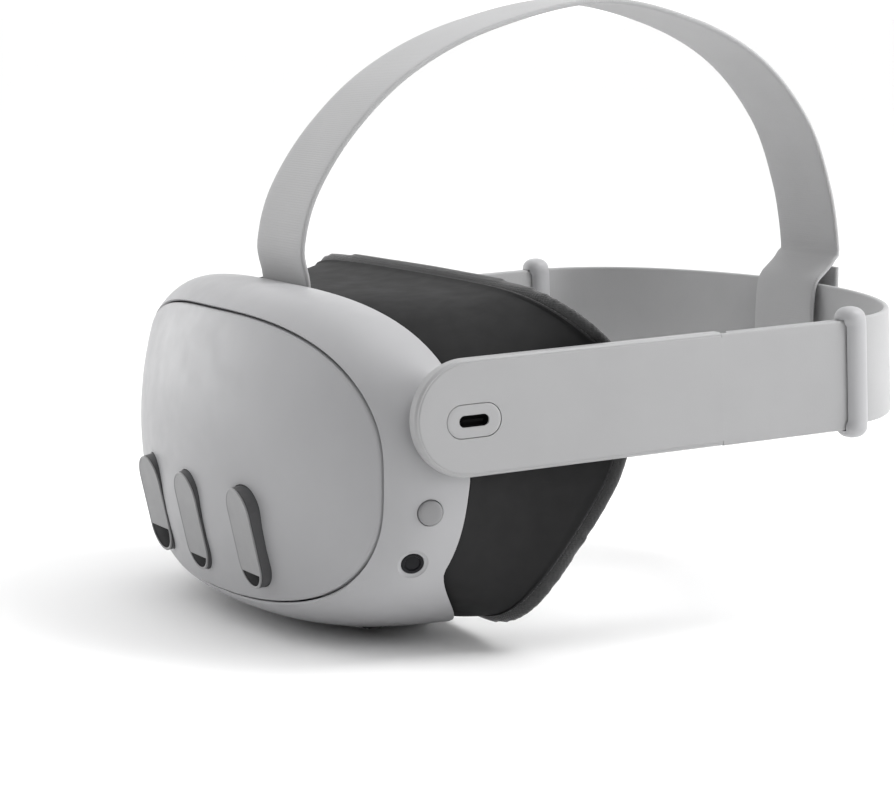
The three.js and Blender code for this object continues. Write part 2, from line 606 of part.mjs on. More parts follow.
function facePadFrame() {
  const forward = PAD.foam + 2 * GAP;
  const outer = [0, 0.3, 0.6, 0.82, 1].map((w) => padRing(w, 0, forward));
  const inner = [1, 0.6].map((w) => padRing(w, PAD.wall, forward));
  const skirt = (inset, depth) => padRing(0, inset).map(([x, y, z]) => [x, y - depth, z]);
  const guide = [
    skirt(SKIRT.inner, 0), skirt(SKIRT.inner, SKIRT.depth), skirt(SKIRT.outer, SKIRT.depth),
    skirt(SKIRT.outer, 0),
  ];
  const reach = 30;
  const strapNotch = box(SKIRT.strapNotch, reach, reach, 0, SKIRT.strapBack - reach / 2, PAD.frontTop);
  const pinNotches = [-1, 1].map((side) => {
    const x = side * PAD.frontHalfWidth;
    return box(reach, reach, SKIRT.pinNotch, x, SKIRT.pinBack - reach / 2, BAND.pivotZ + 1.5);
  });
  return cut(loft([...outer, ...inner, ...guide], true), strapNotch, ...pinNotches);
}

// The foam ring swells out over the wall's edge and rounds in towards the face.
function faceCushion() {
  const { foam, foamWidth, foamSwell } = PAD;
  const section = [
    [0.4, -foam], [-0.7 * foamSwell, -0.8 * foam], [-foamSwell, -0.45 * foam], [-0.6 * foamSwell, -0.5],
    [1.2, 0.2], [foamWidth * 0.6, 0.2], [foamWidth - 0.4, -1.5], [foamWidth - 0.8, -foam],
  ];
  const rings = section.map(([inset, y]) => padRing(1, inset).map((p) => [p[0], p[1] + y, p[2]]));
  return loft(rings, true);
}

// ---------------------------------------------------------------- arms and band, in the headband frame
// An arm's outline in its own plane: a round front end and a square back end.
function armOutline(inset, endInset) {
  const half = ARM.height / 2 - inset;
  const centre = ARM.front + ARM.height / 2;
  const nose = Array.from({ length: 17 }, (_, i) => {
    const angle = Math.PI / 2 + (Math.PI * i) / 16;
    return [centre + half * Math.cos(angle), ARM.z + half * Math.sin(angle)];
  });
  const radius = ARM.rearRadius;
  const corner = (sign) => Array.from({ length: 4 }, (_, i) => {
    const angle = (Math.PI / 2) * (i / 3);
    const turn = sign < 0 ? angle - Math.PI / 2 : angle;
    const y = ARM.end - endInset - radius + radius * Math.cos(turn);
    return [y, ARM.z + sign * (half - radius) + radius * Math.sin(turn)];
  });
  return [...nose, ...corner(-1), ...corner(1)];
}

// A plate of the arm's outline, from [x, inset] levels, its back end set in by endInset.
function armPlate(side, levels, endInset = 0) {
  return loft(levels.map(([x, inset]) => armOutline(inset, endInset).map(([y, z]) => [side * x, y, z])));
}

function portPlace(side) {
  return (u, v, w) => [side * w, u + PORT.y, v + PORT.z];
}

function arm(side, opening) {
  const { inner, outer, bevel, wall, lip, liner } = ARM;
  const levels = [
    [inner, lip], [inner + 0.5, 0], [outer - bevel, 0], [outer - 0.25, bevel * 0.6], [outer, bevel * 1.5],
  ];
  const body = armPlate(side, levels);
  const pocket = armPlate(side, [[inner - 1, wall + lip], [outer - wall - GAP, wall + lip]], wall);
  const pin = rod(PIVOT.radius + GAP, [side * 80, 0, 0], [side, 0, 0], inner + liner + GAP - 80);
  return cut(body, pocket, opening, pin);
}

// An arm with its inner face, its socket, its pivot pin and its speaker.
function armSet(name, side) {
  const { inner, outer, liner, wall, lip } = ARM;
  const place = portPlace(side);
  const isLeft = name === "left";
  const bezelWidth = isLeft ? PORT.width : PORT.height;
  const bezelShape = (inset) => stadium(bezelWidth - 2 * inset, PORT.height - 2 * inset);
  const { slotWidth, slotHeight, audioHole } = PORT;
  const holeShape = isLeft ? stadium(slotWidth, slotHeight) : stadium(audioHole, audioHole);
  const opening = prism(bezelShape(0), outer - 3, outer + 2, place);
  add(headband, `arm_${name}`, arm(side, opening), LIGHT_ARM);
  const linerInset = wall + lip + GAP;
  const linerPlate = armPlate(side, [[inner, linerInset], [inner + liner, linerInset]], wall + GAP);
  const pinHole = rod(PIVOT.radius + GAP, [side * 80, 0, 0], [side, 0, 0], 15);
  add(headband, `arm_liner_${name}`, cut(linerPlate, pinHole), LIGHT_ARM);
  const bezelPlate = prism(bezelShape(GAP), outer - 1.3, outer - 0.05, place);
  const bezel = cut(bezelPlate, prism(holeShape, outer - 3, outer + 2, place));
  add(headband, isLeft ? "usb_bezel" : "audio_bezel", bezel, LIGHT_ARM);
  const socketPlate = prism(isLeft ? stadium(11, 5) : stadium(6.2, 6.2), outer - 2.4, outer - 1.7, place);
  const tongue = prism(isLeft ? stadium(6.4, 0.9, 3) : stadium(1.6, 1.6, 3), outer - 2, outer - 0.7, place);
  add(headband, isLeft ? "usb_socket" : "audio_socket", join(socketPlate, tongue), METAL);
  const shaft = rod(PIVOT.radius, [side * PIVOT.inner, 0, 0], [side, 0, 0], inner + liner - PIVOT.inner, 16);
  const collar = rod(PIVOT.radius + 1, [side * (inner - 0.9), 0, 0], [side, 0, 0], 0.6, 16);
  add(headband, `pivot_pin_${name}`, join(shaft, collar), METAL);
  const { length, height, y, z, cone } = SPEAKER;
  const speaker = box(1, length, height, side * (inner + liner + 0.8), y, z);
  const dish = rod(cone, [side * (inner + liner + 0.7), y, z], [side, 0, 0], 2);
  add(headband, `speaker_${name}`, cut(speaker, dish), BLACK);
}

// The stiff strap that carries the arm on to the slider.
function sideStrap(side) {
  const { sideHeight, sideZ, sideInner, sideOuter, bar, corner } = STRAP;
  const from = ARM.end + GAP;
  const to = bar + 3;
  const half = sideHeight / 2;
  const outline = [
    [from, -half], [to - corner, -half], [to, corner - half], [to, half - corner], [to - corner, half],
    [from, half],
  ];
  return prism(outline, sideInner, sideOuter, (u, v, w) => [side * w, u, v + sideZ]);
}

function rearStrap() {
  const reach = (STRAP.bandOuter + STRAP.bandInner) / 2;
  const half = (STRAP.bandOuter - STRAP.bandInner) / 2;
  const bend = Array.from({ length: 29 }, (_, i) => {
    const angle = (Math.PI * i) / 28;
    return [reach * Math.cos(angle), STRAP.bar + STRAP.rearDepth * Math.sin(angle)];
  });
  const path = [[reach, STRAP.front + 1], ...bend, [-reach, STRAP.front + 1]];
  return prism(outsetPath(path, half), -STRAP.height / 2, STRAP.height / 2);
}

function sliderBar(side) {
  const levels = [[1, 0.5], [0.96, 0.8], [0.86, 1], [-0.86, 1], [-0.96, 0.8], [-1, 0.5]];
  const x = (side * (STRAP.sideOuter + STRAP.bandInner)) / 2;
  const rings = levels.map(([level, share]) => {
    const ring = superellipse((BAR.width / 2) * share, (BAR.length / 2) * share, 2.3, 14);
    return ring.map(([u, v]) => [u + x, v + STRAP.bar, (level * BAR.height) / 2]);
  });
  return cut(loft(rings), box(BAR.slot, 12, BAR.slotHeight, x, STRAP.bar, STRAP.sideZ));
}

// ---------------------------------------------------------------- top strap
function topStrap() {
  const curve = new THREE.SplineCurve(TOP_STRAP_PATH.map((p) => new THREE.Vector2(...p)));
  const path = curve.getSpacedPoints(TOP_STRAP.segments).map((p) => [p.x, p.y]);
  const half = TOP_STRAP.width / 2;
  return prism(outsetPath(path, TOP_STRAP.thickness / 2), -half, half, alongX);
}

// ---------------------------------------------------------------- assembly
add(visor, "front_cover", frontCover(), LIGHT);
sensorPod(-1, "right");
sensorPod(0, "center");
sensorPod(1, "left");
add(visor, "sensor_bar", sensorBar(), METAL);
add(visor, "front_shell", frontShell(), LIGHT);
add(visor, "rear_housing", rearHousing(), BLACK);
add(visor, "strap_anchor", strapAnchor(), BLACK);
add(visor, "mid_frame", midFrame(), METAL);
add(visor, "mainboard", mainboard(), BOARD);
add(visor, "heat_sink", heatSink(), METAL);
add(visor, "fan_housing", fanHousing(), BLACK);
add(visor, "fan_rotor", fanRotor(), BLACK);
add(visor, "battery", batteryPack(), CELL);
add(visor, "power_button", powerButton(), LIGHT);
add(visor, "volume_rocker", volumeRocker(), LIGHT);
add(visor, "ipd_dial", ipdDial(), POD_DARK);
add(visor, "proximity_window", proximityWindow(), GLASS);
for (const [name, side] of Object.entries(SIDES)) {
  add(visor, `side_camera_${name}`, sideCamera(side), GLASS);
  lensSet(side, name);
  const bushStart = [side * PIVOT.inner, BAND.pivotY, BAND.pivotZ];
  const bush = washer(PIVOT.radius + GAP, PIVOT.bushRadius, bushStart, [side, 0, 0], 4.5);
  add(visor, `pivot_bush_${name}`, bush, METAL);
  const padStart = [side * CHARGE_PAD.x, CHARGE_PAD.y, 0.3];
  add(visor, `charge_pad_${name}`, rod(CHARGE_PAD.radius, padStart, [0, 0, 1], 2.2, 16), METAL);
  armSet(name, side);
  add(headband, `side_strap_${name}`, sideStrap(side), LIGHT_ARM);
  add(headband, `slider_${name}`, sliderBar(side), LIGHT);
}
add(visor, "face_pad_frame", facePadFrame(), PAD_GREY);
add(visor, "face_cushion", faceCushion(), FOAM);
add(headband, "rear_strap", rearStrap(), WEBBING);
add(visor, "top_strap", topStrap(), WEBBING);

export default headset;
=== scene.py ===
"""The looks of a mixed-reality headset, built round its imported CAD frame.

Formulas are in millimetres and meshes are in metres. +Z is up, +X is the wearer's left and -Y is the way
the headset looks.
"""
import math

import bmesh
import bpy
import numpy as np
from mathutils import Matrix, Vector


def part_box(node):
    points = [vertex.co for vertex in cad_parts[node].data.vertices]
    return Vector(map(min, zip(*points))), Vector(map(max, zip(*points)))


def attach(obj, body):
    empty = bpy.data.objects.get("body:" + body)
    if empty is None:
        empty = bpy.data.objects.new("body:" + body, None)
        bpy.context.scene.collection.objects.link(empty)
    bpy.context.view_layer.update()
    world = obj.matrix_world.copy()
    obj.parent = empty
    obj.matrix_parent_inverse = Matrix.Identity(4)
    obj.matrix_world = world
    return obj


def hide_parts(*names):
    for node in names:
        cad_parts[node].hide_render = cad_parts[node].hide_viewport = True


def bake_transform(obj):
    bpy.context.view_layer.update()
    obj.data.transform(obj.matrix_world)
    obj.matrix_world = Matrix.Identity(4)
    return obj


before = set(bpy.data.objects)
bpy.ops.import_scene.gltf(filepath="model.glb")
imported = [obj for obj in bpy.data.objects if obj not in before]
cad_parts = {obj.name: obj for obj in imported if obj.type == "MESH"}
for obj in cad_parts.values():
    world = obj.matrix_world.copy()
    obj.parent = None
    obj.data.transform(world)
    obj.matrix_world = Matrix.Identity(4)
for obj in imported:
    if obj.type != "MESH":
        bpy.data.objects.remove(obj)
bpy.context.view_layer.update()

MM = 0.001
SIDES = {"left": 1, "right": -1}
SHARP_ANGLE = math.radians(34)
FLOOR_Z = -0.0002
FLOOR_RADIUS = 2000.0

# ---------------------------------------------------------------- driving dimensions, in millimetres
FACE = dict(y=-45.2, z=48, radius=176, curl=12, curl_half_width=90, curl_power=12,
            brow_fall=6.95, brow_span=37, chin_fall=10, chin_span=44)
SEAM = dict(half_width=79.9, half_height=38.8, z=47.8, power=2.7, gap=0.3, depth=3.4)
SHELL = dict(half_width=85.7, top=93.1, bottom=0, upper_power=3, lower_power=2.6, wall=2,
             round_power=3.4, crown=1, back_y=-16.6, temple_sweep=17, sweep_half_width=90,
             sweep_power=2.1, lower_tuck=3.2, chin_sweep=34, chin_z=24, chin_power=1.5,
             flat_half_height=1.2)
POD = dict(spacing=32, z=27.65, y=-44.0, side_y=-41.9, tilt=12.9, width=14.2, height=28.4, depth=6,
           cap=0.5, rim=0.75, window_cuts={"right": 7.3, "center": 4.2, "left": 4.5})
SIDE_CAMERA = dict(y=-15.8, z=26.6, lens_radius=2.9, dish_radius=4.6)
POWER_BUTTON = dict(y=-12.6, z=40.5, radius=3.3, dome=0.9, stem=3.2)
ROCKER = dict(x=-34, y=-8, length=18, width=4.6, sink=0.7, height=3.2)
DIAL = dict(x=36, y=-6, radius=9, width=5, sink=0.8, teeth=20)
CHARGE_PAD = dict(x=14, y=1, radius=2.2)
HOUSING = dict(half_width=78.4, top=87.4, bottom=6.4, power=2.6, wall=2, front_y=-23, back_y=-2,
               plate=1.8, sweep=6.5)
LENS = dict(x=32, z=47, radius=23.5, wall=1.2, front_y=-22, back_y=3, travel=3.25)
LENS_CLEARANCE = 0.5
PROXIMITY_Z = 72
PAD = dict(front_half_width=84.7, front_top=91.5, front_bottom=1.6, front_upper_power=2.8,
           front_lower_power=2.6, front_gap=0.8, rim_half_width=82.8, rim_top=93.6, rim_bottom=6,
           rim_power=6.3, rim_y=31.6, wall=2, waist=2.5, flare_power=4.5, brow_bow=-6.85,
           temple_reach=25.8, temple_z=64, temple_above=33.9, temple_below=59.8, cheek=-14.3,
           cheek_z=45, cheek_ease=0.35, nose_rise=32, nose_width=15, strap_relief=3.2,
           relief_width=24, foam=4.3, foam_swell=2.6)
BAND = dict(pivot_y=-10.15, pivot_z=64.8, lean=2.37)
ARM = dict(inner=86.3, outer=90.1, height=30.5, z=-0.25, front=-9.2, end=82, rear_radius=0.5)
PORT = dict(y=7.5, z=-0.9, width=15.8, height=8.9, slot_width=8.6, slot_height=3.1)
STRAP = dict(height=29.3, side_height=30.1, side_z=-0.5, side_outer=90, side_inner=88.4,
             band_outer=88.1, band_inner=86.4, front=84, bar=124.4, rear_depth=41.7)
BAR = dict(width=8.8, length=7.9, height=36)
TOP_STRAP = dict(width=30.4, thickness=1.5)
TOP_STRAP_PATH = [
    (-14.1, 85.9), (-14.5, 94), (-16, 103.5), (-11.7, 118.4), (0.2, 135.6), (18.1, 151.3), (43, 163.1),
    (77, 170.4), (106.9, 165.4), (131.5, 153.7), (148.5, 135.4), (157, 114.9), (160.3, 97), (159.2, 93.9),
    (157.4, 91.5), (155, 89.3), (152.9, 87.2), (151.9, 84), (151.5, 79), (151.2, 71), (151.2, 57.5),
    (155.6, 51.6), (160, 57.5), (160.1, 75), (160.2, 91.2),
]
ANCHOR = dict(half_width=20, bottom=80.5, top=85.4)


# ---------------------------------------------------------------- mesh helpers
def add_object(name, data):
    piece = bpy.data.objects.new(name, data)
    bpy.context.scene.collection.objects.link(piece)
    return piece


def make(name, vertices, faces, sharp=SHARP_ANGLE):
    """A smooth-shaded object from vertices in millimetres, its normals facing out."""
    mesh = bpy.data.meshes.new(name)
    mesh.from_pydata((np.asarray(vertices, float) * MM).tolist(), [], [tuple(f) for f in faces])
    work = bmesh.new()
    work.from_mesh(mesh)
    bmesh.ops.remove_doubles(work, verts=work.verts, dist=1e-7)
    bmesh.ops.recalc_face_normals(work, faces=work.faces)
    work.to_mesh(mesh)
    work.free()
    piece = add_object(name, mesh)
    shade(piece, sharp)
    return piece


def shade(piece, sharp=SHARP_ANGLE):
    piece.data.polygons.foreach_set("use_smooth", [True] * len(piece.data.polygons))
    piece.data.set_sharp_from_angle(angle=sharp)


def skin(rings, closed=False):
    """Quads over a list of equally long closed rings, and a face over each end of an open skin."""
    count, total = len(rings[0]), len(rings)
    faces = []
    for r in range(total if closed else total - 1):
        here, there = r * count, (r + 1) % total * count
        for i in range(count):
            j = (i + 1) % count
            faces.append((here + i, here + j, there + j, there + i))
    if not closed:
        last = (total - 1) * count
        faces += [tuple(reversed(range(count))), tuple(range(last, last + count))]
    return faces


def loft(name, rings, closed=False):
    return make(name, np.concatenate([np.asarray(r, float) for r in rings]), skin(rings, closed))


def turned(name, profile, start, direction, count=64, closed=False):
    """A profile of [radius, height] revolved about a line; radius 0 closes an end."""
    spin = np.array(Vector((0, 0, 1)).rotation_difference(Vector(direction).normalized()).to_matrix())
    angles = np.linspace(0, 2 * math.pi, count, endpoint=False)
    rings = []
    for radius, height in profile:
        radius = max(radius, 1e-3)
        ring = np.stack([radius * np.cos(angles), radius * np.sin(angles), np.full(count, height)], 1)
        rings.append(ring @ spin.T + np.array(start))
    return loft(name, rings, closed)


def superellipse(half_width, half_height, power, count, upper_power=None):
    """A closed ring of [u, v]; its upper half may be squarer or rounder than its lower half."""
    angle = np.linspace(0, 2 * math.pi, count, endpoint=False)
    c, s = np.cos(angle), np.sin(angle)
    power = np.where(s > 0, upper_power or power, power)
    reach = (np.abs(c) ** power + np.abs(s) ** power) ** (-1 / power)
    return np.stack([half_width * c * reach, half_height * s * reach], 1)


def distinct(points):
    """A closed outline without the points that the next one repeats."""
    following = [*points[1:], points[0]]
    return np.array([p for p, q in zip(points, following) if math.dist(p, q) > 1e-6])


def quarter(x, y, radius, turn, count):
    """A quarter circle about a point, from the given quarter turn on."""
    angles = np.linspace(0, math.pi / 2, count) + turn * math.pi / 2
    return [(x + radius * math.cos(a), y + radius * math.sin(a)) for a in angles]


def stadium(width, height, segments=14):
    radius = min(width, height) / 2
    across, up = width / 2 - radius, height / 2 - radius
    points = []
    for turn, sx, sy in ((0, 1, 1), (1, -1, 1), (2, -1, -1), (3, 1, -1)):
        points += quarter(sx * across, sy * up, radius, turn, segments + 1)
    return distinct(points)


def pill(width, height, segments=14):
    """A stadium at any inset, as layers asks for it."""
    return lambda inset: stadium(width - 2 * inset, height - 2 * inset, segments)


def box(left, right, low, high):
    return [(left, low), (right, low), (right, high), (left, high)]


def sunk(level, profile):
    """A profile of [inset, depth below a level], as layers asks for it."""
    return [(inset, level - depth) for inset, depth in profile]


def mix(a, b, share):
    return a + (b - a) * share


def layers(name, outline_at, profile, place, closed=False):
    """Lofts the outlines that outline_at(inset) gives, each at the depth that goes with its inset."""
    return loft(name, [[place(u, v, w) for u, v in outline_at(inset)] for inset, w in profile], closed)


def evaluated_copy(piece):
    """Applies the piece's modifiers to its mesh."""
    bpy.context.view_layer.update()
    graph = bpy.context.evaluated_depsgraph_get()
    seen = piece.evaluated_get(graph)
    mesh = bpy.data.meshes.new_from_object(seen, preserve_all_data_layers=True, depsgraph=graph)
    piece.modifiers.clear()
    piece.data = mesh
    return piece


def carve(piece, *cutters):
    """Cuts the cutters out of the piece and removes them, then evens the shading round the cuts."""
    for cutter in cutters:
        modifier = piece.modifiers.new("cut", "BOOLEAN")
        modifier.operation = "DIFFERENCE"
        modifier.solver = "EXACT"
        modifier.object = cutter
    evaluated_copy(piece)
    for cutter in cutters:
        bpy.data.objects.remove(cutter)
    shade(piece)
    modifier = piece.modifiers.new("even_normals", "WEIGHTED_NORMAL")
    modifier.keep_sharp = True
    modifier.weight = 60
    return evaluated_copy(piece)


def cylinder_cutter(radius, start, direction, length, count=64):
    return turned("cutter", [(radius, 0), (radius, length)], start, direction, count)


def prism_cutter(outline, low, high, place):
    return layers("cutter", lambda inset: outline, [(0, low), (0, high)], place)


def merged(name, pieces):
    """One object out of several."""
    work = bmesh.new()
    for piece in pieces:
        work.from_mesh(piece.data)
    mesh = bpy.data.meshes.new(name)
    work.to_mesh(mesh)
    work.free()
    whole = add_object(name, mesh)
    for piece in pieces:
        bpy.data.objects.remove(piece)
    shade(whole)
    return whole


# ---------------------------------------------------------------- materials
def add_node(tree, kind, **values):
    """A node with its sockets and settings given by name; a socket's spaces are written _."""
    made = tree.nodes.new(kind)
    for key, value in values.items():
        socket = key.replace("_", " ")
        if socket in made.inputs:
            made.inputs[socket].default_value = value
        else:
            setattr(made, key, value)
    return made


class Paint:
    """A Principled material with short names for the nodes that its pattern needs."""

    def __init__(self, name, color, roughness, metallic=0.0):
        self.material = bpy.data.materials.new(name)
        self.material.use_nodes = True
        self.tree = self.material.node_tree
        self.shader = self.tree.nodes["Principled BSDF"]
        self.color = color
        self.roughness = roughness
        self.set("Base Color", (*color, 1.0))
        self.set("Roughness", roughness)
        self.set("Metallic", metallic)

    def set(self, socket, value):
        self.shader.inputs[socket].default_value = value

    def link(self, source, target):
        self.tree.links.new(source, target)

    def node(self, kind, **values):
        return add_node(self.tree, kind, **values)

    def placed(self, kind, stretch=(1, 1, 1), source="Object", **values):
        """A texture node on the given coordinates."""
        made = self.node(kind, **values)
        mapping = self.node("ShaderNodeMapping", Scale=stretch)
        self.link(self.node("ShaderNodeTexCoord").outputs[source], mapping.inputs["Vector"])
        self.link(mapping.outputs["Vector"], made.inputs["Vector"])
        return made

    def noise(self, scale, detail=2.0, stretch=(1, 1, 1), source="Object"):
        made = self.placed("ShaderNodeTexNoise", stretch, source, Scale=scale, Detail=detail)
        return made.outputs["Fac"]

    def wave(self, pitch, direction, distortion):
        """Ribs across a direction of the flat cloth, one every pitch metres."""
        made = self.placed("ShaderNodeTexWave", source="UV", bands_direction=direction, wave_profile="SIN",
                           Scale=math.pi / (10 * pitch), Distortion=distortion, Detail=1.0, Detail_Scale=8.0)
        return made.outputs["Fac"]

    def ranged(self, value, low, high):
        """The middle of a pattern's run, stretched to run from low to high."""
        made = self.node("ShaderNodeMapRange", From_Min=0.3, From_Max=0.7, To_Min=low, To_Max=high)
        self.link(value, made.inputs["Value"])
        return made.outputs["Result"]

    def added(self, a, b, share):
        made = self.node("ShaderNodeMath", operation="MULTIPLY_ADD")
        self.link(b, made.inputs[0])
        made.inputs[1].default_value = share
        self.link(a, made.inputs[2])
        return made.outputs["Value"]

    def tint(self, value, dark, light):
        """Drives the colour between a darker and a lighter shade of itself."""
        both = self.node("ShaderNodeMix", data_type="RGBA")
        ends = [s for s in both.inputs if s.type == "RGBA"]
        for socket, level in zip(ends, (dark, light)):
            socket.default_value = (*(min(1, c * level) for c in self.color), 1)
        self.link(value, both.inputs["Factor"])
        self.link([s for s in both.outputs if s.type == "RGBA"][0], self.shader.inputs["Base Color"])

    def uneven(self, value, spread):
        gloss = self.ranged(value, self.roughness - spread, self.roughness + spread)
        self.link(gloss, self.shader.inputs["Roughness"])

    def bump(self, height, distance, strength):
        made = self.node("ShaderNodeBump", Strength=strength, Distance=distance)
        self.link(height, made.inputs["Height"])
        self.link(made.outputs["Normal"], self.shader.inputs["Normal"])


def moulded(name, color, roughness, grain=0.00002, pitch=2600, specular=0.5):
    """Spark-eroded moulded plastic: a fine grain, slightly cloudy gloss and faint shade changes."""
    paint = Paint(name, color, roughness)
    paint.bump(paint.noise(pitch), grain, 0.55)
    paint.uneven(paint.noise(160, 3.0), 0.05)
    paint.tint(paint.ranged(paint.noise(38, 3.0), 0, 1), 0.97, 1.02)
    paint.set("Specular IOR Level", specular)
    return paint.material


def woven(name, color, rib_pitch, depth=0.00008, contrast=0.06):
    """Elastic webbing: cross ribs of yarn with a finer lengthwise thread and soft fuzz."""
    paint = Paint(name, color, 0.88)
    ribs = paint.wave(rib_pitch, "Y", 1.6)
    threads = paint.wave(rib_pitch * 0.8, "X", 2.2)
    fuzz = paint.noise(1500, 4.0, source="UV")
    paint.bump(paint.added(paint.added(ribs, threads, 0.5), fuzz, 1.4), depth, 0.5)
    mottle = paint.ranged(paint.noise(34, 5.0, source="UV"), 0, 0.7)
    paint.tint(paint.added(mottle, fuzz, 0.3), 1 - contrast, 1 + contrast / 2)
    paint.set("Sheen Weight", 0.15)
    paint.set("Sheen Roughness", 0.5)
    return paint.material


def knitted(name, color):
    """The foam's knitted cover: small loops, a little sheen, and rubbed lighter here and there."""
    paint = Paint(name, color, 0.92)
    loops = paint.placed("ShaderNodeTexVoronoi", (1, 1, 1.6), Scale=1150.0, Randomness=0.35)
    loops = loops.outputs["Distance"]
    paint.bump(paint.added(loops, paint.noise(3000), 0.4), 0.00022, 0.9)
    rubbed = paint.ranged(paint.noise(30, 4.0), 0, 0.55)
    paint.tint(paint.added(rubbed, loops, 0.5), 0.82, 1.2)
    paint.set("Sheen Weight", 0.35)
    paint.set("Sheen Roughness", 0.45)
    return paint.material


def polished(name, color, roughness=0.3, specular=0.15):
    """Dark window plastic with the faint orange peel of a polished moulding."""
    paint = Paint(name, color, roughness)
    paint.bump(paint.noise(420), 0.00001, 0.3)
    paint.tint(paint.ranged(paint.noise(90), 0, 1), 0.85, 1.1)
    paint.uneven(paint.noise(300), 0.02)
    paint.set("Specular IOR Level", specular)
    return paint.material


def metal(name, color, roughness, stretch=(1, 1, 24)):
    """Turned or drawn metal with fine marks along one direction."""
    paint = Paint(name, color, roughness, 1.0)
    marks = paint.noise(900, 3.0, stretch)
    paint.bump(marks, 0.00001, 0.4)
    paint.uneven(marks, 0.08)
    paint.tint(paint.ranged(paint.noise(60, 3.0), 0, 1), 0.92, 1.05)
    return paint.material


def lens_glass(name):
    paint = Paint(name, (0.86, 0.9, 0.95), 0.02)
    paint.bump(paint.noise(70, 1.0), 0.000004, 0.2)
    for socket, value in (("Transmission Weight", 0.92), ("IOR", 1.53), ("Coat Weight", 0.5),
                          ("Coat Roughness", 0.02), ("Coat Tint", (0.72, 0.66, 1.0, 1.0))):
        paint.set(socket, value)
    return paint.material


def circuit_board(name):
    """Solder mask over copper tracks, with a grid of pads."""
    paint = Paint(name, (0.012, 0.075, 0.04), 0.35)
    tracks = paint.placed("ShaderNodeTexBrick", Scale=260.0, Mortar_Size=0.03).outputs["Fac"]
    paint.tint(tracks, 1.0, 2.6)
    paint.bump(tracks, 0.00004, 0.6)
    return paint.material


LOOKS = {
    "shell": moulded("shell_plastic", (0.39, 0.39, 0.4), 0.42),
    "cover": moulded("cover_plastic", (0.35, 0.35, 0.36), 0.40),
    "arm": moulded("arm_plastic", (0.345, 0.345, 0.35), 0.46),
    "strap_skin": moulded("strap_elastomer", (0.35, 0.35, 0.355), 0.52, grain=0.00003, pitch=1800),
    "pod_cap": moulded("pod_cap_plastic", (0.25, 0.25, 0.255), 0.42),
    "pod_wall": moulded("pod_wall_plastic", (0.075, 0.075, 0.078), 0.55),
    # The power button is the shell's plastic painted darker: painted shade, for the shadow that falls on it
    # below the arm.
    "button": moulded("button_shaded_plastic", (0.24, 0.24, 0.245), 0.45),
    "black": moulded("black_plastic", (0.012, 0.012, 0.013), 0.55, grain=0.00004),
    # Near-black and nearly matt: painted shade standing for the dark inside the USB slot.
    "socket": moulded("socket_painted_shade", (0.003, 0.003, 0.003), 0.85, specular=0.1),
    "pad": moulded("pad_soft_touch", (0.016, 0.016, 0.0165), 0.75, grain=0.00004, pitch=1500, specular=0.2),
    "foam": knitted("pad_knit", (0.06, 0.06, 0.061)),
    "piping": knitted("pad_piping", (0.022, 0.022, 0.024)),
    "webbing": woven("strap_webbing", (0.42, 0.42, 0.425), 0.0007, 0.00004),
    "band": woven("band_webbing", (0.41, 0.41, 0.415), 0.0005, 0.00002, contrast=0.1),
    "stitch": woven("stitch_thread", (0.40, 0.40, 0.41), 0.0004),
    "window": polished("dark_window", (0.010, 0.010, 0.012)),
    "pod_window": polished("pod_window_plastic", (0.008, 0.008, 0.009), 0.5, 0.05),
    "glass": lens_glass("lens_glass"),
    "metal": metal("machined_metal", (0.55, 0.56, 0.58), 0.34),
    "contact": metal("plated_contact", (0.62, 0.55, 0.42), 0.22, (1, 1, 1)),
    "board": circuit_board("circuit_board"),
    "cell": metal("battery_foil", (0.30, 0.31, 0.33), 0.45, (6, 1, 1)),
}


def dress(piece, look, body, replaced=()):
    """Gives a piece its material and its body, and hides the CAD nodes that it stands for."""
    piece.data.materials.clear()
    piece.data.materials.append(LOOKS[look])
    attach(piece, body)
    if replaced:
        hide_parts(*replaced)
    return piece


# ---------------------------------------------------------------- visor surfaces
RING = 168  # points round a visor section
FLOOR_EASE = 0.3  # how softly the shell turns into the flat patch under it


def face_y(x, z):
    above = z - FACE["z"]
    fall = np.where(above > 0, FACE["brow_fall"] * (above / FACE["brow_span"]) ** 2,
                    FACE["chin_fall"] * (above / FACE["chin_span"]) ** 2)
    curl = FACE["curl"] * (np.abs(x) / FACE["curl_half_width"]) ** FACE["curl_power"]
    return FACE["y"] + x ** 2 / (2 * FACE["radius"]) + curl + fall


def swept_back(x, sweep):
    return sweep * (np.abs(x) / SHELL["sweep_half_width"]) ** SHELL["sweep_power"]


def shell_back_y(x, z):
    chin = np.maximum(0, (SHELL["chin_z"] - z) / SHELL["chin_z"])
    tuck = SHELL["lower_tuck"] * np.clip((SEAM["z"] - z) / (SEAM["z"] - SHELL["chin_z"]), 0, 1)
    chin_sweep = SHELL["chin_sweep"] * chin ** SHELL["chin_power"]
    return SHELL["back_y"] + swept_back(x, SHELL["temple_sweep"]) - tuck + chin_sweep


def seam_ring(inset=0.0, deep=0.0):
    """The shut line, moved inwards by inset and backwards by deep."""
    return face_ring(inset, 1, deep)


def face_ring(inset, share, deep=0.0):
    """The shut line's outline drawn in towards the middle of the face."""
    ring = superellipse(SEAM["half_width"] - inset, SEAM["half_height"] - inset, SEAM["power"], RING)
    x, z = ring[:, 0] * share, ring[:, 1] * share + SEAM["z"]
    return np.stack([x, face_y(x, z) + deep, z], 1)


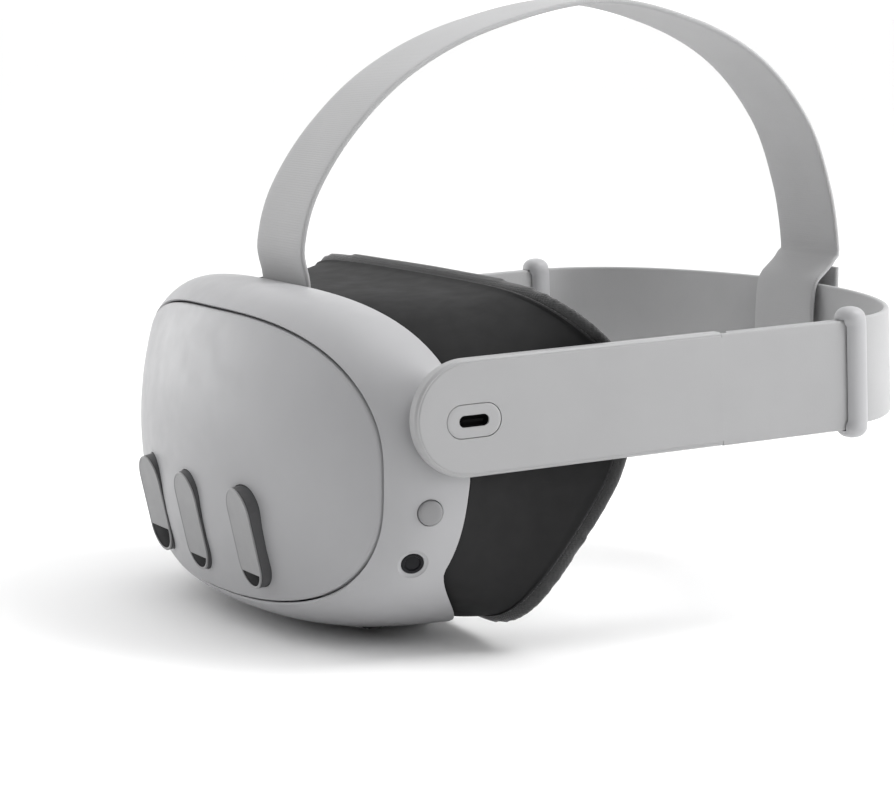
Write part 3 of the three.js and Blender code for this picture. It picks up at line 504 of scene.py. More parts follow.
def shell_ring(w, inset=0.0, back=0.0):
    """A section of the shell, w = 0 at the seam and 1 at the back edge."""
    out = 1 - (1 - w) ** SHELL["round_power"]
    crown = SHELL["crown"] * math.sin(math.pi * w)
    half_width = mix(SEAM["half_width"], SHELL["half_width"], out) - inset
    top = mix(SEAM["z"] + SEAM["half_height"], SHELL["top"], out) + crown - inset
    bottom = mix(SEAM["z"] - SEAM["half_height"], SHELL["bottom"] - SHELL["flat_half_height"], out) + inset
    lower_power = mix(SEAM["power"], SHELL["lower_power"], w)
    upper_power = mix(SEAM["power"], SHELL["upper_power"], w)
    ring = superellipse(half_width, (top - bottom) / 2, lower_power, RING, upper_power)
    floor = SHELL["bottom"] + inset
    above = (top + bottom) / 2 + ring[:, 1] - floor
    z = floor + 0.5 * (above + np.sqrt(above ** 2 + FLOOR_EASE ** 2))
    y = mix(seam_ring()[:, 1], shell_back_y(ring[:, 0], z), w) + back
    return np.stack([ring[:, 0], y, z], 1)


def shell_side(y, z):
    """The place and outward direction of the shell's left side at a depth and height."""
    steps = np.linspace(0, 1, 81)
    grid = np.array([shell_ring(w) for w in steps])
    distance = np.hypot(grid[:, :, 1] - y, grid[:, :, 2] - z) + 1e3 * (grid[:, :, 0] <= 0)
    r, i = np.unravel_index(distance.argmin(), distance.shape)
    r = min(max(r, 1), len(steps) - 2)
    along = grid[r + 1, i] - grid[r - 1, i]
    around = grid[r, (i + 1) % RING] - grid[r, (i - 1) % RING]
    normal = np.cross(along, around)
    normal = normal / np.linalg.norm(normal) * (1 if normal[0] > 0 else -1)
    found = grid[r, i]
    x = found[0] - (normal[1] * (y - found[1]) + normal[2] * (z - found[2])) / normal[0]
    return np.array([x, y, z]), normal


def to_side(vector, side):
    return np.array([side * vector[0], vector[1], vector[2]])


def pod_place(index):
    x = index * POD["spacing"]
    y = POD["y"] if index == 0 else POD["side_y"]
    tilt = math.radians(POD["tilt"])
    c, s = math.cos(tilt), math.sin(tilt)
    return lambda u, v, w: (x + u, y + w * c - v * s, POD["z"] + v * c + w * s)


# ---------------------------------------------------------------- front cover and sensor pods
def front_cover():
    half_gap = SEAM["gap"] / 2
    rings = [face_ring(0.5, share) for share in (
        0.02, 0.1, 0.2, 0.3, 0.4, 0.5, 0.6, 0.7, 0.78, 0.85, 0.9, 0.94, 0.97, 0.985)]
    rings += [seam_ring(inset, deep) for inset, deep in (
        (0.62, 0.0), (0.42, 0.03), (0.26, 0.12), (half_gap + 0.02, 0.3), (half_gap, 0.55),
        (half_gap, 4.5), (1.9, 4.5), (1.95, 2.4))]
    rings += [face_ring(1.95, share, 1.8) for share in (0.9, 0.6, 0.3, 0.05)]
    cover = loft("front_cover_moulding", rings)
    outline = stadium(POD["width"] + 0.5, POD["height"] + 0.5)
    carve(cover, *[prism_cutter(outline, -8, 14, pod_place(i)) for i in (-1, 0, 1)])
    dress(cover, "cover", "visor", ["front_cover"])


def pod_window_outline(edge, inset):
    """The lower end of a pod's face, inset from its rim and cut off straight at a height."""
    radius = POD["width"] / 2 - inset
    centre = (POD["width"] - POD["height"]) / 2
    top = edge - inset + POD["rim"]
    start = math.asin((top - centre) / radius) if top < centre else 0
    angles = np.linspace(start, -math.pi - start, 41)
    arc = [(radius * math.cos(a), centre + radius * math.sin(a)) for a in angles]
    side = arc[0][0]
    return [(side, top)] + arc + [(-side, top)]


def sensor_pod(index, name):
    place = pod_place(index)
    cap, rim, depth = POD["cap"], POD["rim"], POD["depth"]
    edge = -POD["height"] / 2 + POD["window_cuts"][name]
    around = pill(POD["width"], POD["height"], 22)
    wall = layers(f"pod_wall_{name}", around, [
        (1.1, depth - 1.4), (1.1, cap + 0.6), (0.5, cap + 0.12), (0.12, cap + 0.08), (0.0, cap + 0.2),
        (0.0, depth), (0.2, depth)], place)
    dress(wall, "pod_wall", "visor", [f"pod_housing_{name}"])
    face = layers(f"pod_cap_moulding_{name}", around, [
        (0.3, cap), (0.05, cap - 0.03), (0.0, cap - 0.1), (0.0, 0.3), (0.02, 0.2), (0.12, 0.07), (0.26, 0.01),
        (0.4, 0.0), (0.62, 0.02), (0.72, 0.1), (1.4, 0.1)], place)
    carve(face, prism_cutter(pod_window_outline(edge, rim), -1, 3, place))
    dress(face, "pod_cap", "visor", [f"pod_cap_{name}"])
    pane = layers(f"pod_pane_{name}", lambda inset: pod_window_outline(edge, rim + inset), [
        (0.04, cap - 0.05), (0.04, 0.28), (0.07, 0.22), (0.14, 0.2)], place)
    dress(pane, "pod_window", "visor", [f"pod_window_{name}"])


# ---------------------------------------------------------------- light shell and what is set in it
def visor_shell():
    gap, wall = SEAM["gap"], SHELL["wall"]
    rings = [seam_ring(inset, deep) for inset, deep in (
        (-gap, SEAM["depth"]), (-gap, 1.1), (-0.34, 0.85), (-0.46, 0.72))]
    rings += [shell_ring(w) for w in (0.03, 0.05, 0.075, 0.105, 0.14, 0.18, 0.225, 0.275, 0.33, 0.39, 0.455,
                                      0.525, 0.6, 0.68, 0.76, 0.84, 0.91, 0.96)]
    rings += [shell_ring(1, inset, back) for inset, back in (
        (0.0, -0.7), (0.05, -0.3), (0.22, -0.07), (0.5, 0.0), (1.5, 0.0), (1.85, -0.12), (wall, -0.5))]
    rings += [shell_ring(w, wall) for w in (0.75, 0.5, 0.3)]
    shell = loft("visor_shell", rings, closed=True)
    camera, out = shell_side(SIDE_CAMERA["y"], SIDE_CAMERA["z"])
    button, up = shell_side(POWER_BUTTON["y"], POWER_BUTTON["z"])
    reach = SIDE_CAMERA["dish_radius"]
    dish = [(0.01, -0.9), (3.3, -0.85), (3.8, -0.6), (4.2, -0.28), (reach, 0.05), (reach + 0.6, 0.25),
            (reach + 1.0, 3), (0.01, 3)]
    cutters = []
    for side in SIDES.values():
        spot, way = to_side(camera, side), to_side(out, side)
        pad = (side * CHARGE_PAD["x"], CHARGE_PAD["y"], -2)
        cutters += [
            turned("cutter", dish, spot, way, 72),
            cylinder_cutter(SIDE_CAMERA["lens_radius"] + 0.15, spot - 5 * way, way, 8),
            cylinder_cutter(4.6, (side * 70, BAND["pivot_y"], BAND["pivot_z"]), (side, 0, 0), 30),
            cylinder_cutter(CHARGE_PAD["radius"] + 0.25, pad, (0, 0, 1), 6)]
        cutters += [cylinder_cutter(0.45, (side * x, -8, -2), (0, 0, 1), 12, 20) for x in (52, 55)]
    cutters.append(cylinder_cutter(POWER_BUTTON["radius"] + 0.22, button - 5 * up, up, 8))
    for outline, part in ((stadium(ROCKER["length"] + 0.8, ROCKER["width"] + 0.8), ROCKER),
                          (stadium(16.6, DIAL["width"] + 1.2), DIAL)):
        x, y = part["x"], part["y"]
        cutters.append(prism_cutter(outline, -2, 5, lambda u, v, w, x=x, y=y: (u + x, v + y, w)))
    carve(shell, *cutters)
    dress(shell, "shell", "visor", ["front_shell"])


def side_cameras():
    place, out = shell_side(SIDE_CAMERA["y"], SIDE_CAMERA["z"])
    r = SIDE_CAMERA["lens_radius"]
    profile = [(0, -0.95), (r * 0.4, -0.92), (r * 0.68, -1.1), (r * 0.75, -0.75), (r * 0.9, -0.66), (r, -0.8),
               (r, -4), (0, -4)]
    for name, side in SIDES.items():
        barrel = turned(f"side_lens_{name}", profile, to_side(place, side), to_side(out, side), 56)
        dress(barrel, "window", "visor", [f"side_camera_{name}"])


def power_button():
    place, up = shell_side(POWER_BUTTON["y"], POWER_BUTTON["z"])
    r, dome, foot = POWER_BUTTON["radius"], POWER_BUTTON["dome"], -POWER_BUTTON["stem"]
    profile = [(r * share, dome * height) for share, height in (
        (0, 1), (0.35, 0.99), (0.6, 0.95), (0.8, 0.86), (0.9, 0.72), (0.97, 0.5), (1, 0.2))]
    profile += [(r, foot + 0.3), (r - 0.3, foot), (0, foot)]
    button = turned("power_button_cap", profile, place, up, 72)
    # The button's darker colour is painted shade, not its own colour.
    dress(button, "button", "power_key", ["power_button"])


def volume_rocker():
    x, y, sink = ROCKER["x"], ROCKER["y"], ROCKER["sink"]
    inner = sink + ROCKER["height"]
    dip = lambda u: 0.45 * math.exp(-(u / 4.5) ** 2)
    place = lambda u, v, w: (x + u, y + v, w + (dip(u) if w < sink + 0.4 else 0))
    body = layers("volume_rocker_cap", pill(ROCKER["length"], ROCKER["width"], 16), [
        (0.3, inner), (0, inner - 0.3), (0, sink + 0.5), (0.12, sink + 0.2), (0.4, sink + 0.03),
        (0.9, sink), (1.6, sink)], place)
    dot = [(0, -0.25), (0.3, -0.2), (0.42, 0), (0.42, 0.5), (0, 0.5)]
    dots = [turned("dot", dot, (x + u, y, sink + 0.05), (0, 0, 1), 20) for u in (-6.4, 5.8, 7.0)]
    whole = merged("volume_rocker_moulding", [body, *dots])
    dress(whole, "shell", "volume_key", ["volume_rocker"])


def ipd_dial():
    angle = np.linspace(0, 2 * math.pi, DIAL["teeth"] * 8, endpoint=False)
    centre = DIAL["sink"] + DIAL["radius"]

    def around(inset):
        gullet = 0.5 - 0.5 * np.cos(DIAL["teeth"] * angle)
        r = DIAL["radius"] - inset - 0.55 * gullet ** 2
        return np.stack([r * np.cos(angle), r * np.sin(angle)], 1)

    half = DIAL["width"] / 2
    rim = [(5.5, half - 0.8), (2.2, half - 0.7), (1.9, half - 0.1), (0.7, half), (0.15, half - 0.25),
           (0, half - 0.7)]
    profile = [(inset, -w) for inset, w in rim] + rim[::-1]
    wheel = layers("ipd_wheel", around, profile, lambda u, v, w: (u + DIAL["x"], w + DIAL["y"], v + centre))
    axle = turned("axle", [(0, 0), (1.2, 0), (1.4, 0.2), (1.4, 8.8), (1.2, 9), (0, 9)],
                  (DIAL["x"], DIAL["y"] - 4.5, centre), (0, 1, 0), 24)
    dress(merged("ipd_wheel_moulding", [wheel, axle]), "pod_wall", "ipd_wheel", ["ipd_dial"])


def charge_pads():
    r = CHARGE_PAD["radius"]
    profile = [(0, 0.32), (r - 0.5, 0.3), (r - 0.1, 0.42), (r, 0.6), (r, 2.5), (0, 2.5)]
    for name, side in SIDES.items():
        place = (side * CHARGE_PAD["x"], CHARGE_PAD["y"], 0)
        pad = turned(f"charge_contact_{name}", profile, place, (0, 0, 1), 40)
        dress(pad, "contact", "visor", [f"charge_pad_{name}"])


# ---------------------------------------------------------------- inner housing and lenses
def housing_ring(y, inset=0.0):
    half = (HOUSING["top"] - HOUSING["bottom"]) / 2 - inset
    ring = superellipse(HOUSING["half_width"] - inset, half, HOUSING["power"], RING)
    middle = (HOUSING["top"] + HOUSING["bottom"]) / 2
    return np.stack([ring[:, 0], y + swept_back(ring[:, 0], HOUSING["sweep"]), middle + ring[:, 1]], 1)


def shrunk_plate(y, inset, share):
    """The housing's outline drawn in towards the lenses, on the plate's swept surface."""
    ring = housing_ring(y, inset)
    x, z = ring[:, 0] * share, LENS["z"] + (ring[:, 2] - LENS["z"]) * share
    return np.stack([x, y + swept_back(x, HOUSING["sweep"]), z], 1)


def in_plate(x, z):
    return lambda u, v, w: (u + x, w, v + z)


def rear_housing():
    back, front, wall = HOUSING["back_y"], HOUSING["front_y"], HOUSING["wall"]
    plate = back + HOUSING["plate"]
    rings = [housing_ring(front), housing_ring(plate - 0.6), housing_ring(plate - 0.15, 0.15),
             housing_ring(plate, 0.6)]
    rings += [shrunk_plate(plate, 0.6, share) for share in (0.97, 0.9, 0.7, 0.45, 0.2, 0.02)]
    rings += [shrunk_plate(back, 2.2, share) for share in (0.02, 0.45, 0.9)]
    rings += [housing_ring(back, wall), housing_ring(front, wall)]
    housing = loft("inner_housing", rings, closed=True)
    reach = LENS["radius"] + LENS_CLEARANCE
    opening = stadium(2 * (reach + LENS["travel"]), 2 * reach, 20)
    cutters = []
    for side in SIDES.values():
        cutters.append(prism_cutter(opening, -20, 20, in_plate(side * LENS["x"], LENS["z"])))
        cutters.append(cylinder_cutter(7.3, (side * 66, BAND["pivot_y"], BAND["pivot_z"]), (side, 0, 0), 24))
    for outline, low, high, x, z in (
            (stadium(26, 60, 20), -10, 12, 0, -4), (stadium(4.4, 2.6), -20, 20, 0, PROXIMITY_Z),
            (box(-20.3, 20.3, 80.2, 99), -23.5, -9.5, 0, 0), (box(-10, 10, 6, 36), -12.5, 0.5, DIAL["x"], 0),
            (box(-10.5, 10.5, -5, 16), -12, -4, ROCKER["x"], 0)):
        cutters.append(prism_cutter(outline, low, high, in_plate(x, z)))
    carve(housing, *cutters)
    dress(housing, "black", "visor", ["rear_housing"])


def lens_gaskets():
    """A soft lip round each lens opening."""
    reach = LENS["radius"] + LENS_CLEARANCE
    around = pill(2 * (reach + LENS["travel"]), 2 * reach, 24)
    top = HOUSING["back_y"] + HOUSING["plate"] + swept_back(LENS["x"], HOUSING["sweep"])
    profile = sunk(top, [(0.1, 1.6), (0.1, -0.1), (-0.3, -0.75), (-1.2, -0.9), (-2.1, -0.7), (-2.5, -0.1),
                         (-2.4, 0.4), (0.0, 1.9)])
    for name, side in SIDES.items():
        place = in_plate(side * LENS["x"], LENS["z"])
        lip = layers(f"lens_gasket_{name}", around, profile, place, closed=True)
        dress(lip, "black", "visor")


def lens_set(name, side):
    body = f"lens_set_{name}"
    r, front = LENS["radius"], LENS["front_y"]
    depth = LENS["back_y"] - front
    inner = r - LENS["wall"]
    axis = lambda y: (side * LENS["x"], y, LENS["z"])
    profile = [(r - 8, 0), (r - 2, 0), (r - 1.2, 1), (r, 5), (r, depth - 0.7), (r - 0.2, depth - 0.2),
               (r - 0.6, depth), (inner, depth - 0.25)]
    for step in range(5):
        low, radius = depth - 0.5 - step * 0.75, inner - 0.12 * step
        profile += [(radius, low), (radius - 0.3, low - 0.15), (radius - 0.3, low - 0.55)]
    profile += [(inner - 0.9, 13.5), (inner - 0.9, 6), (r - 8, 2)]
    barrel = turned(f"lens_tube_{name}", profile, axis(front), (0, 1, 0), 96, closed=True)
    dress(barrel, "black", body, [f"lens_barrel_{name}"])
    stand = inner - 1.1
    dome = [(0, -2.2), (stand * 0.5, -2.0), (stand - 0.5, -0.6), (stand, 0), (stand, 1.0), (stand - 0.4, 1.5)]
    dome += [(stand * math.cos(a), 1.5 + 4.0 * math.sin(a)) for a in np.linspace(0.18, math.pi / 2, 12)]
    lens = turned(f"lens_element_{name}", dome, axis(LENS["back_y"] - 9.5), (0, 1, 0), 96)
    dress(lens, "glass", body, [f"lens_{name}"])
    screen = layers(f"display_panel_{name}", lambda inset: superellipse(15.5 - inset, 15.5 - inset, 9, 72),
                    sunk(front, [(0.2, 1.8), (0, 1.6), (0, 0.8), (0.3, 0.6), (1.0, 0.6), (1.2, 0.75)]),
                    in_plate(side * LENS["x"], LENS["z"]))
    dress(screen, "window", body, [f"display_{name}"])




def proximity_window():
    profile = sunk(HOUSING["back_y"], [(0.1, 0.2), (0, 0), (0, -1.3), (0.1, -1.5), (0.3, -1.55)])
    pane = layers("proximity_pane", pill(4, 2.2), profile, in_plate(0, PROXIMITY_Z))
    dress(pane, "pod_window", "visor", ["proximity_window"])


def strap_anchor():
    low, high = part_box("strap_anchor")
    y0, y1 = low.y / MM, high.y / MM
    reach, bottom, top = ANCHOR["half_width"], ANCHOR["bottom"], ANCHOR["top"]
    around = lambda inset: box(-reach + inset, reach - inset, bottom + inset, top - inset)
    bar = layers("strap_clip", around, [(0.4, y0), (0, y0 + 0.4), (0, y1 - 0.4), (0.4, y1)], in_plate(0, 0))
    half = TOP_STRAP["width"] / 2 + 0.6
    carve(bar, prism_cutter(box(-half, half, top - 1.5, top + 3), -15.2, -13.2, in_plate(0, 0)))
    dress(bar, "black", "visor", ["strap_anchor"])


# ---------------------------------------------------------------- face pad
def pad_rim_y(x, z):
    """How far back the rim reaches: furthest at the temples, and less down the cheeks."""
    across = np.abs(x) / PAD["rim_half_width"]
    above = z > PAD["temple_z"]
    away = np.abs(z - PAD["temple_z"]) / np.where(above, PAD["temple_above"], PAD["temple_below"])
    level = np.maximum(0, 1 - away ** np.where(above, 1.8, 1.3))
    down = np.clip((PAD["cheek_z"] - z) / PAD["cheek_z"], 0, 1)
    cheek = PAD["cheek"] * (down * (1 - PAD["cheek_ease"] * down ** 2)) ** 1.2
    return PAD["rim_y"] + PAD["brow_bow"] * across ** 2 + PAD["temple_reach"] * across ** 3 * level + cheek


def pad_outline(w, inset):
    """The pad's outline from the front, w = 0 where it meets the visor and 1 at the rim."""
    waist = PAD["waist"] * math.sin(math.pi * w)
    half_width = mix(PAD["front_half_width"], PAD["rim_half_width"], w) - waist - inset
    top = mix(PAD["front_top"], PAD["rim_top"], w ** PAD["flare_power"]) - inset
    bottom = mix(PAD["front_bottom"], PAD["rim_bottom"], w) + inset
    half = (top - bottom) / 2
    lower_power = mix(PAD["front_lower_power"], PAD["rim_power"], w)
    upper_power = mix(PAD["front_upper_power"], PAD["rim_power"], w)
    x, v = superellipse(half_width, half, lower_power, RING, upper_power).T
    bridge = np.exp(-((x / (PAD["nose_width"] + inset)) ** 2))
    rise = (PAD["nose_rise"] + inset) * min(1, w * 1.15) ** 1.5
    return x, (top + bottom) / 2 + v + np.where(v < 0, rise * bridge * (-v / half), 0)


def pad_ring(w, inset=0.0, forward=0.0, back=0.0):
    """A section of the pad: its outline set in, at the depth of the outline that is not."""
    x, z = pad_outline(w, inset)
    outer_x, outer_z = pad_outline(w, 0)
    upper = np.arange(RING) < RING / 2
    relief = PAD["strap_relief"] * np.exp(-((x / PAD["relief_width"]) ** 4)) * upper
    front = shell_back_y(outer_x, outer_z) + PAD["front_gap"] + relief
    return np.stack([x, mix(front, pad_rim_y(outer_x, outer_z) - forward, w) + back, z], 1)


def pad_wall():
    forward, wall = PAD["foam"] + 0.6, PAD["wall"]
    rings = [pad_ring(w, inset, forward, back) for w, inset, back in (
        (0, 3.4, -3.3), (0, 2.3, -3.3), (0, 2.2, -3.1), (0, 2.2, 0.0), (0, 0.3, 0.0), (0.003, 0.06, 0.1))]
    rings += [pad_ring(w, 0, forward) for w in (0.02, 0.06, 0.12, 0.19, 0.27, 0.35, 0.43, 0.51, 0.59, 0.66,
                                                0.73, 0.79, 0.84, 0.89, 0.93, 0.965)]
    rings += [pad_ring(1, inset, forward, back) for inset, back in (
        (-0.25, -0.5), (-0.3, 0.0), (-0.1, 0.35), (0.4, 0.4), (wall - 0.3, 0.3), (wall, 0.0))]
    rings += [pad_ring(w, wall, forward) for w in (0.85, 0.65, 0.4, 0.2)]
    shroud = loft("pad_wall", rings, closed=True)
    cutters = [prism_cutter(box(-21, 21, 77, 107), -42, -12.3, in_plate(0, 0))]
    for side in SIDES.values():
        place = in_plate(side * PAD["front_half_width"], 0)
        cutters.append(prism_cutter(box(-15, 15, 56, 76), -32, -1.8, place))
    carve(shroud, *cutters)
    dress(shroud, "pad", "face_pad", ["face_pad_frame"])


def cushion_rings():
    """The foam's section: it swells out over the wall's edge and rounds in towards the face."""
    deep, swell = PAD["foam"], PAD["foam_swell"]
    section = [(0.5, -deep)]
    bulge = ((0.15, 0.93), (0.62, 0.8), (0.93, 0.6), (1, 0.38))
    section += [(-swell * out, -deep * back) for out, back in bulge]
    section += [(-0.8 * swell, -0.7), (-0.35 * swell, -0.15), (0.6, 0.15), (2.6, 0.3), (5.0, 0.3),
                (7.4, -0.1), (9.2, -1.0), (10.2, -2.2), (10.5, -3.4), (10.2, -deep)]
    return [pad_ring(1, inset, 0, y) for inset, y in section]


def pad_cushion():
    """The foam ring: inflated by a short cloth simulation inside its cover, and held at its base."""
    cushion = loft("pad_cushion", cushion_rings(), closed=True)
    simulate_padding(cushion, voxel=0.0012, swell=0.0004)
    dress(cushion, "foam", "face_pad", ["face_cushion"])


def smooth_subdivide(piece, levels):
    modifier = piece.modifiers.new("fine", "SUBSURF")
    modifier.levels = modifier.render_levels = levels
    shade(evaluated_copy(piece), math.radians(80))


HELD_DEPTH = 0.0012  # metres of the cushion's base that its wall holds


def simulate_padding(piece, voxel, swell, frames=20):
    """Remeshes the piece, lets pressure fill its cover, and keeps each point near where it began."""
    scene = bpy.context.scene
    remesh = piece.modifiers.new("even", "REMESH")
    remesh.mode = "VOXEL"
    remesh.voxel_size = voxel
    evaluated_copy(piece)
    start = np.array([v.co for v in piece.data.vertices])
    base = (pad_rim_y(start[:, 0] / MM, start[:, 2] / MM) - PAD["foam"]) * MM
    held = piece.vertex_groups.new(name="held")
    held.add([int(i) for i in np.flatnonzero(start[:, 1] - base < HELD_DEPTH)], 1.0, "REPLACE")
    cloth = piece.modifiers.new("cover", "CLOTH")
    cloth.point_cache.frame_start, cloth.point_cache.frame_end = 1, frames
    settings = cloth.settings
    settings.vertex_group_mass = "held"
    settings.quality = 6
    settings.use_pressure = True
    settings.uniform_pressure_force = 4.0
    settings.tension_stiffness = settings.compression_stiffness = 12
    settings.bending_stiffness = 0.6
    settings.effector_weights.gravity = 0.0
    for step in range(1, frames + 1):
        scene.frame_set(step)
    evaluated_copy(piece)
    moved = np.array([v.co for v in piece.data.vertices]) - start
    length = np.linalg.norm(moved, axis=1, keepdims=True)
    moved *= np.minimum(1, swell / np.maximum(length, 1e-9))
    piece.data.vertices.foreach_set("co", (start + moved).astype(np.float32).ravel())
    scene.frame_set(1)
    relax = piece.modifiers.new("relax", "SMOOTH")
    relax.factor = 0.5
    relax.iterations = 14
    evaluated_copy(piece)
    smooth_subdivide(piece, 1)


def ring_tube(name, centres, radius, count=10):
    """A closed tube along a closed ring of points."""
    ahead = np.roll(centres, -1, 0) - np.roll(centres, 1, 0)
    ahead /= np.linalg.norm(ahead, axis=1, keepdims=True)
    outward = centres - centres.mean(0)
    outward -= (outward * ahead).sum(1, keepdims=True) * ahead
    outward /= np.linalg.norm(outward, axis=1, keepdims=True)
    up = np.cross(ahead, outward)
    angles = np.linspace(0, 2 * math.pi, count, endpoint=False)
    return loft(name, [[centre + radius * (math.cos(a) * o + math.sin(a) * u) for a in angles]
                       for centre, o, u in zip(centres, outward, up)], closed=True)


def pad_piping():
    """The bound edge where the cover wraps on to the wall."""
    tube = ring_tube("pad_piping", pad_ring(1, 0.15, PAD["foam"] + 0.1), 0.45)
    dress(tube, "piping", "face_pad")


# ---------------------------------------------------------------- arms, in the headband's leaning frame
def lean(points):
    """Places points of the headband's own frame."""
    x, y, z = np.moveaxis(np.asarray(points, float), -1, 0)
    c, s = math.cos(math.radians(BAND["lean"])), math.sin(math.radians(BAND["lean"]))
    return np.stack([x, BAND["pivot_y"] + c * y - s * z, BAND["pivot_z"] + s * y + c * z], -1)


def arm_outline(inset, end_inset=0.0):
    """The arm from the side: a round nose, and a square end that the strap goes on from."""
    half = ARM["height"] / 2 - inset
    centre = ARM["front"] + ARM["height"] / 2
    nose = np.linspace(math.pi / 2, 1.5 * math.pi, 49)
    points = [(centre + half * math.cos(a), half * math.sin(a)) for a in nose]
    radius = ARM["rear_radius"]
    end = ARM["end"] - end_inset - radius
    points += quarter(end, radius - half, radius, -1, 7) + quarter(end, half - radius, radius, 0, 7)
    return [(y, ARM["z"] + z) for y, z in points]


def arm_place(side):
    return lambda u, v, w: lean((side * w, u, v))


def port_place(side):
    return lambda u, v, w: lean((side * w, u + PORT["y"], v + PORT["z"]))


def arm(name, side):
    inner, outer = ARM["inner"], ARM["outer"]
    profile = [(2.2, inner + 0.9), (1.6, inner + 0.9), (1.5, inner + 0.1), (0.5, inner), (0.12, inner + 0.15),
               (0, inner + 0.5)]
    profile += sunk(outer, [(0, 0.95), (0.05, 0.72), (0.2, 0.46), (0.44, 0.22), (0.7, 0.1), (0.86, 0.12),
                            (0.93, 0.16), (1.0, 0.1), (1.12, 0.02), (1.5, 0), (3.2, 0)])
    plate = layers(f"arm_moulding_{name}", lambda inset: arm_outline(inset, 0.0 if inset < 1.3 else 0.02),
                   profile, arm_place(side))
    usb = name == "left"
    around = stadium(PORT["width"] if usb else PORT["height"], PORT["height"], 20)
    cutters = [prism_cutter(around, outer - 1.6, outer + 2, port_place(side))]
    if usb:
        well = stadium(PORT["slot_width"] + 1.9, PORT["slot_height"] + 1.9, 16)
        cutters.append(prism_cutter(well, outer - 2.5, outer + 2, port_place(side)))
    carve(plate, *cutters)
    dress(plate, "arm", "headband", [f"arm_{name}"])


def arm_liner(name, side):
    """The arm's inner face, with the speaker's slots in it."""
    inner = ARM["inner"]
    plate = layers(f"arm_inner_face_{name}", lambda inset: arm_outline(inset, inset - 0.3), [
        (1.7, inner + 0.88), (1.75, inner + 0.2), (1.95, inner + 0.02), (3.0, inner)], arm_place(side))
    speaker = lambda u: lambda a, b, w: lean((side * w, a + u, b + 3))
    carve(plate, *[prism_cutter(stadium(1.1, 7.5 - 0.35 * abs(i - 3) ** 1.5, 8), inner - 1, inner + 0.6,
                                speaker(22 + 2.6 * i)) for i in range(7)])
    dress(plate, "arm", "headband", [f"arm_liner_{name}"])
    mesh = layers(f"speaker_mesh_{name}", pill(20, 9), [
        (0.2, inner + 0.62), (0, inner + 0.6), (0, inner + 0.5), (0.4, inner + 0.45)], speaker(29.8))
    dress(mesh, "black", "headband", [f"speaker_{name}"])


def port_bezel(kind, side, width, hole):
    """The ring round a socket's hole, a hair below the arm's face."""
    outer, place = ARM["outer"], port_place(side)
    bezel = layers(f"{kind}_port_bezel", pill(width, PORT["height"], 20), sunk(outer, [
        (0.2, 1.5), (0.14, 1.4), (0.14, 0.25), (0.2, 0.1), (0.4, 0.03), (1.2, 0.02)]), place)
    carve(bezel, prism_cutter(stadium(*hole, 16), outer - 4, outer + 2, place))
    dress(bezel, "arm", "headband", [f"{kind}_bezel"])


def usb_port():
    outer, place = ARM["outer"], port_place(1)
    hole = PORT["slot_width"], PORT["slot_height"]
    port_bezel("usb", 1, PORT["width"], hole)
    well = layers("usb_port_shell", pill(*hole, 16), sunk(outer, [
        (-0.9, 2.4), (-0.9, 1.7), (0.02, 1.6), (0.02, 0.5), (0.25, 0.4), (0.3, 0.6), (0.3, 1.9),
        (2.0, 1.95)]), place)
    tongue = layers("tongue", pill(6.2, 0.75, 6), sunk(outer, [
        (0.05, 2.0), (0, 1.8), (0, 1.25), (0.12, 1.15)]), place)
    socket = merged("usb_socket_shell", [well, tongue])
    # The socket shell's near-black colour is painted shade inside the slot.
    dress(socket, "socket", "headband", ["usb_socket"])


def audio_port():
    hole = 3.7, 3.7
    port_bezel("audio", -1, PORT["height"], hole)
    well = layers("audio_socket_shell", pill(*hole, 12), sunk(ARM["outer"], [
        (-1.1, 2.4), (-1.1, 1.7), (0.02, 1.6), (0.02, 0.4), (0.25, 0.35), (0.4, 0.6), (0.4, 2.1),
        (1.2, 2.2)]), port_place(-1))
    dress(well, "metal", "headband", ["audio_socket"])


# ---------------------------------------------------------------- straps
def rounded_section(half_width, half_thickness, radius):
    """A strap's section, with points along its flats."""
    x, y = half_width - radius, half_thickness - radius
    corners = distinct(quarter(x, y, radius, 0, 5) + quarter(-x, y, radius, 1, 5)
                       + quarter(-x, -y, radius, 2, 5) + quarter(x, -y, radius, 3, 5))
    points = []
    for p, q in zip(corners, np.roll(corners, -1, 0)):
        points.append(p)
        if math.dist(p, q) > 2:
            points += [mix(p, q, share) for share in np.linspace(0, 1, 12)[1:-1]]
    return np.array(points)


def lengths(path):
    """How far along a path each of its points is."""
    return np.concatenate([[0], np.cumsum(np.linalg.norm(np.diff(path, axis=0), axis=1))])


def ribbon(name, path, across, width, thickness, edge):
    """A flat strap along a path, with rounded selvedges and UVs in metres: u across and v along."""
    ahead = np.gradient(path, axis=0)
    ahead /= np.linalg.norm(ahead, axis=1, keepdims=True)
    normal = np.cross(ahead, across)
    normal /= np.linalg.norm(normal, axis=1, keepdims=True)
    section = rounded_section(width / 2, thickness / 2, min(edge, thickness / 2))
    rings = [p + section[:, :1] * across + section[:, 1:] * n for p, n in zip(path, normal)]
    piece = make(name, np.concatenate(rings), skin(rings), math.radians(60))
    flat = np.stack([np.tile(section[:, 0], len(path)), np.repeat(lengths(path), len(section))], 1) * MM
    corners = np.zeros(len(piece.data.loops), np.int32)
    piece.data.loops.foreach_get("vertex_index", corners)
    layer = piece.data.uv_layers.new(name="flat")
    layer.data.foreach_set("uv", flat[corners].astype(np.float32).ravel())
    return piece


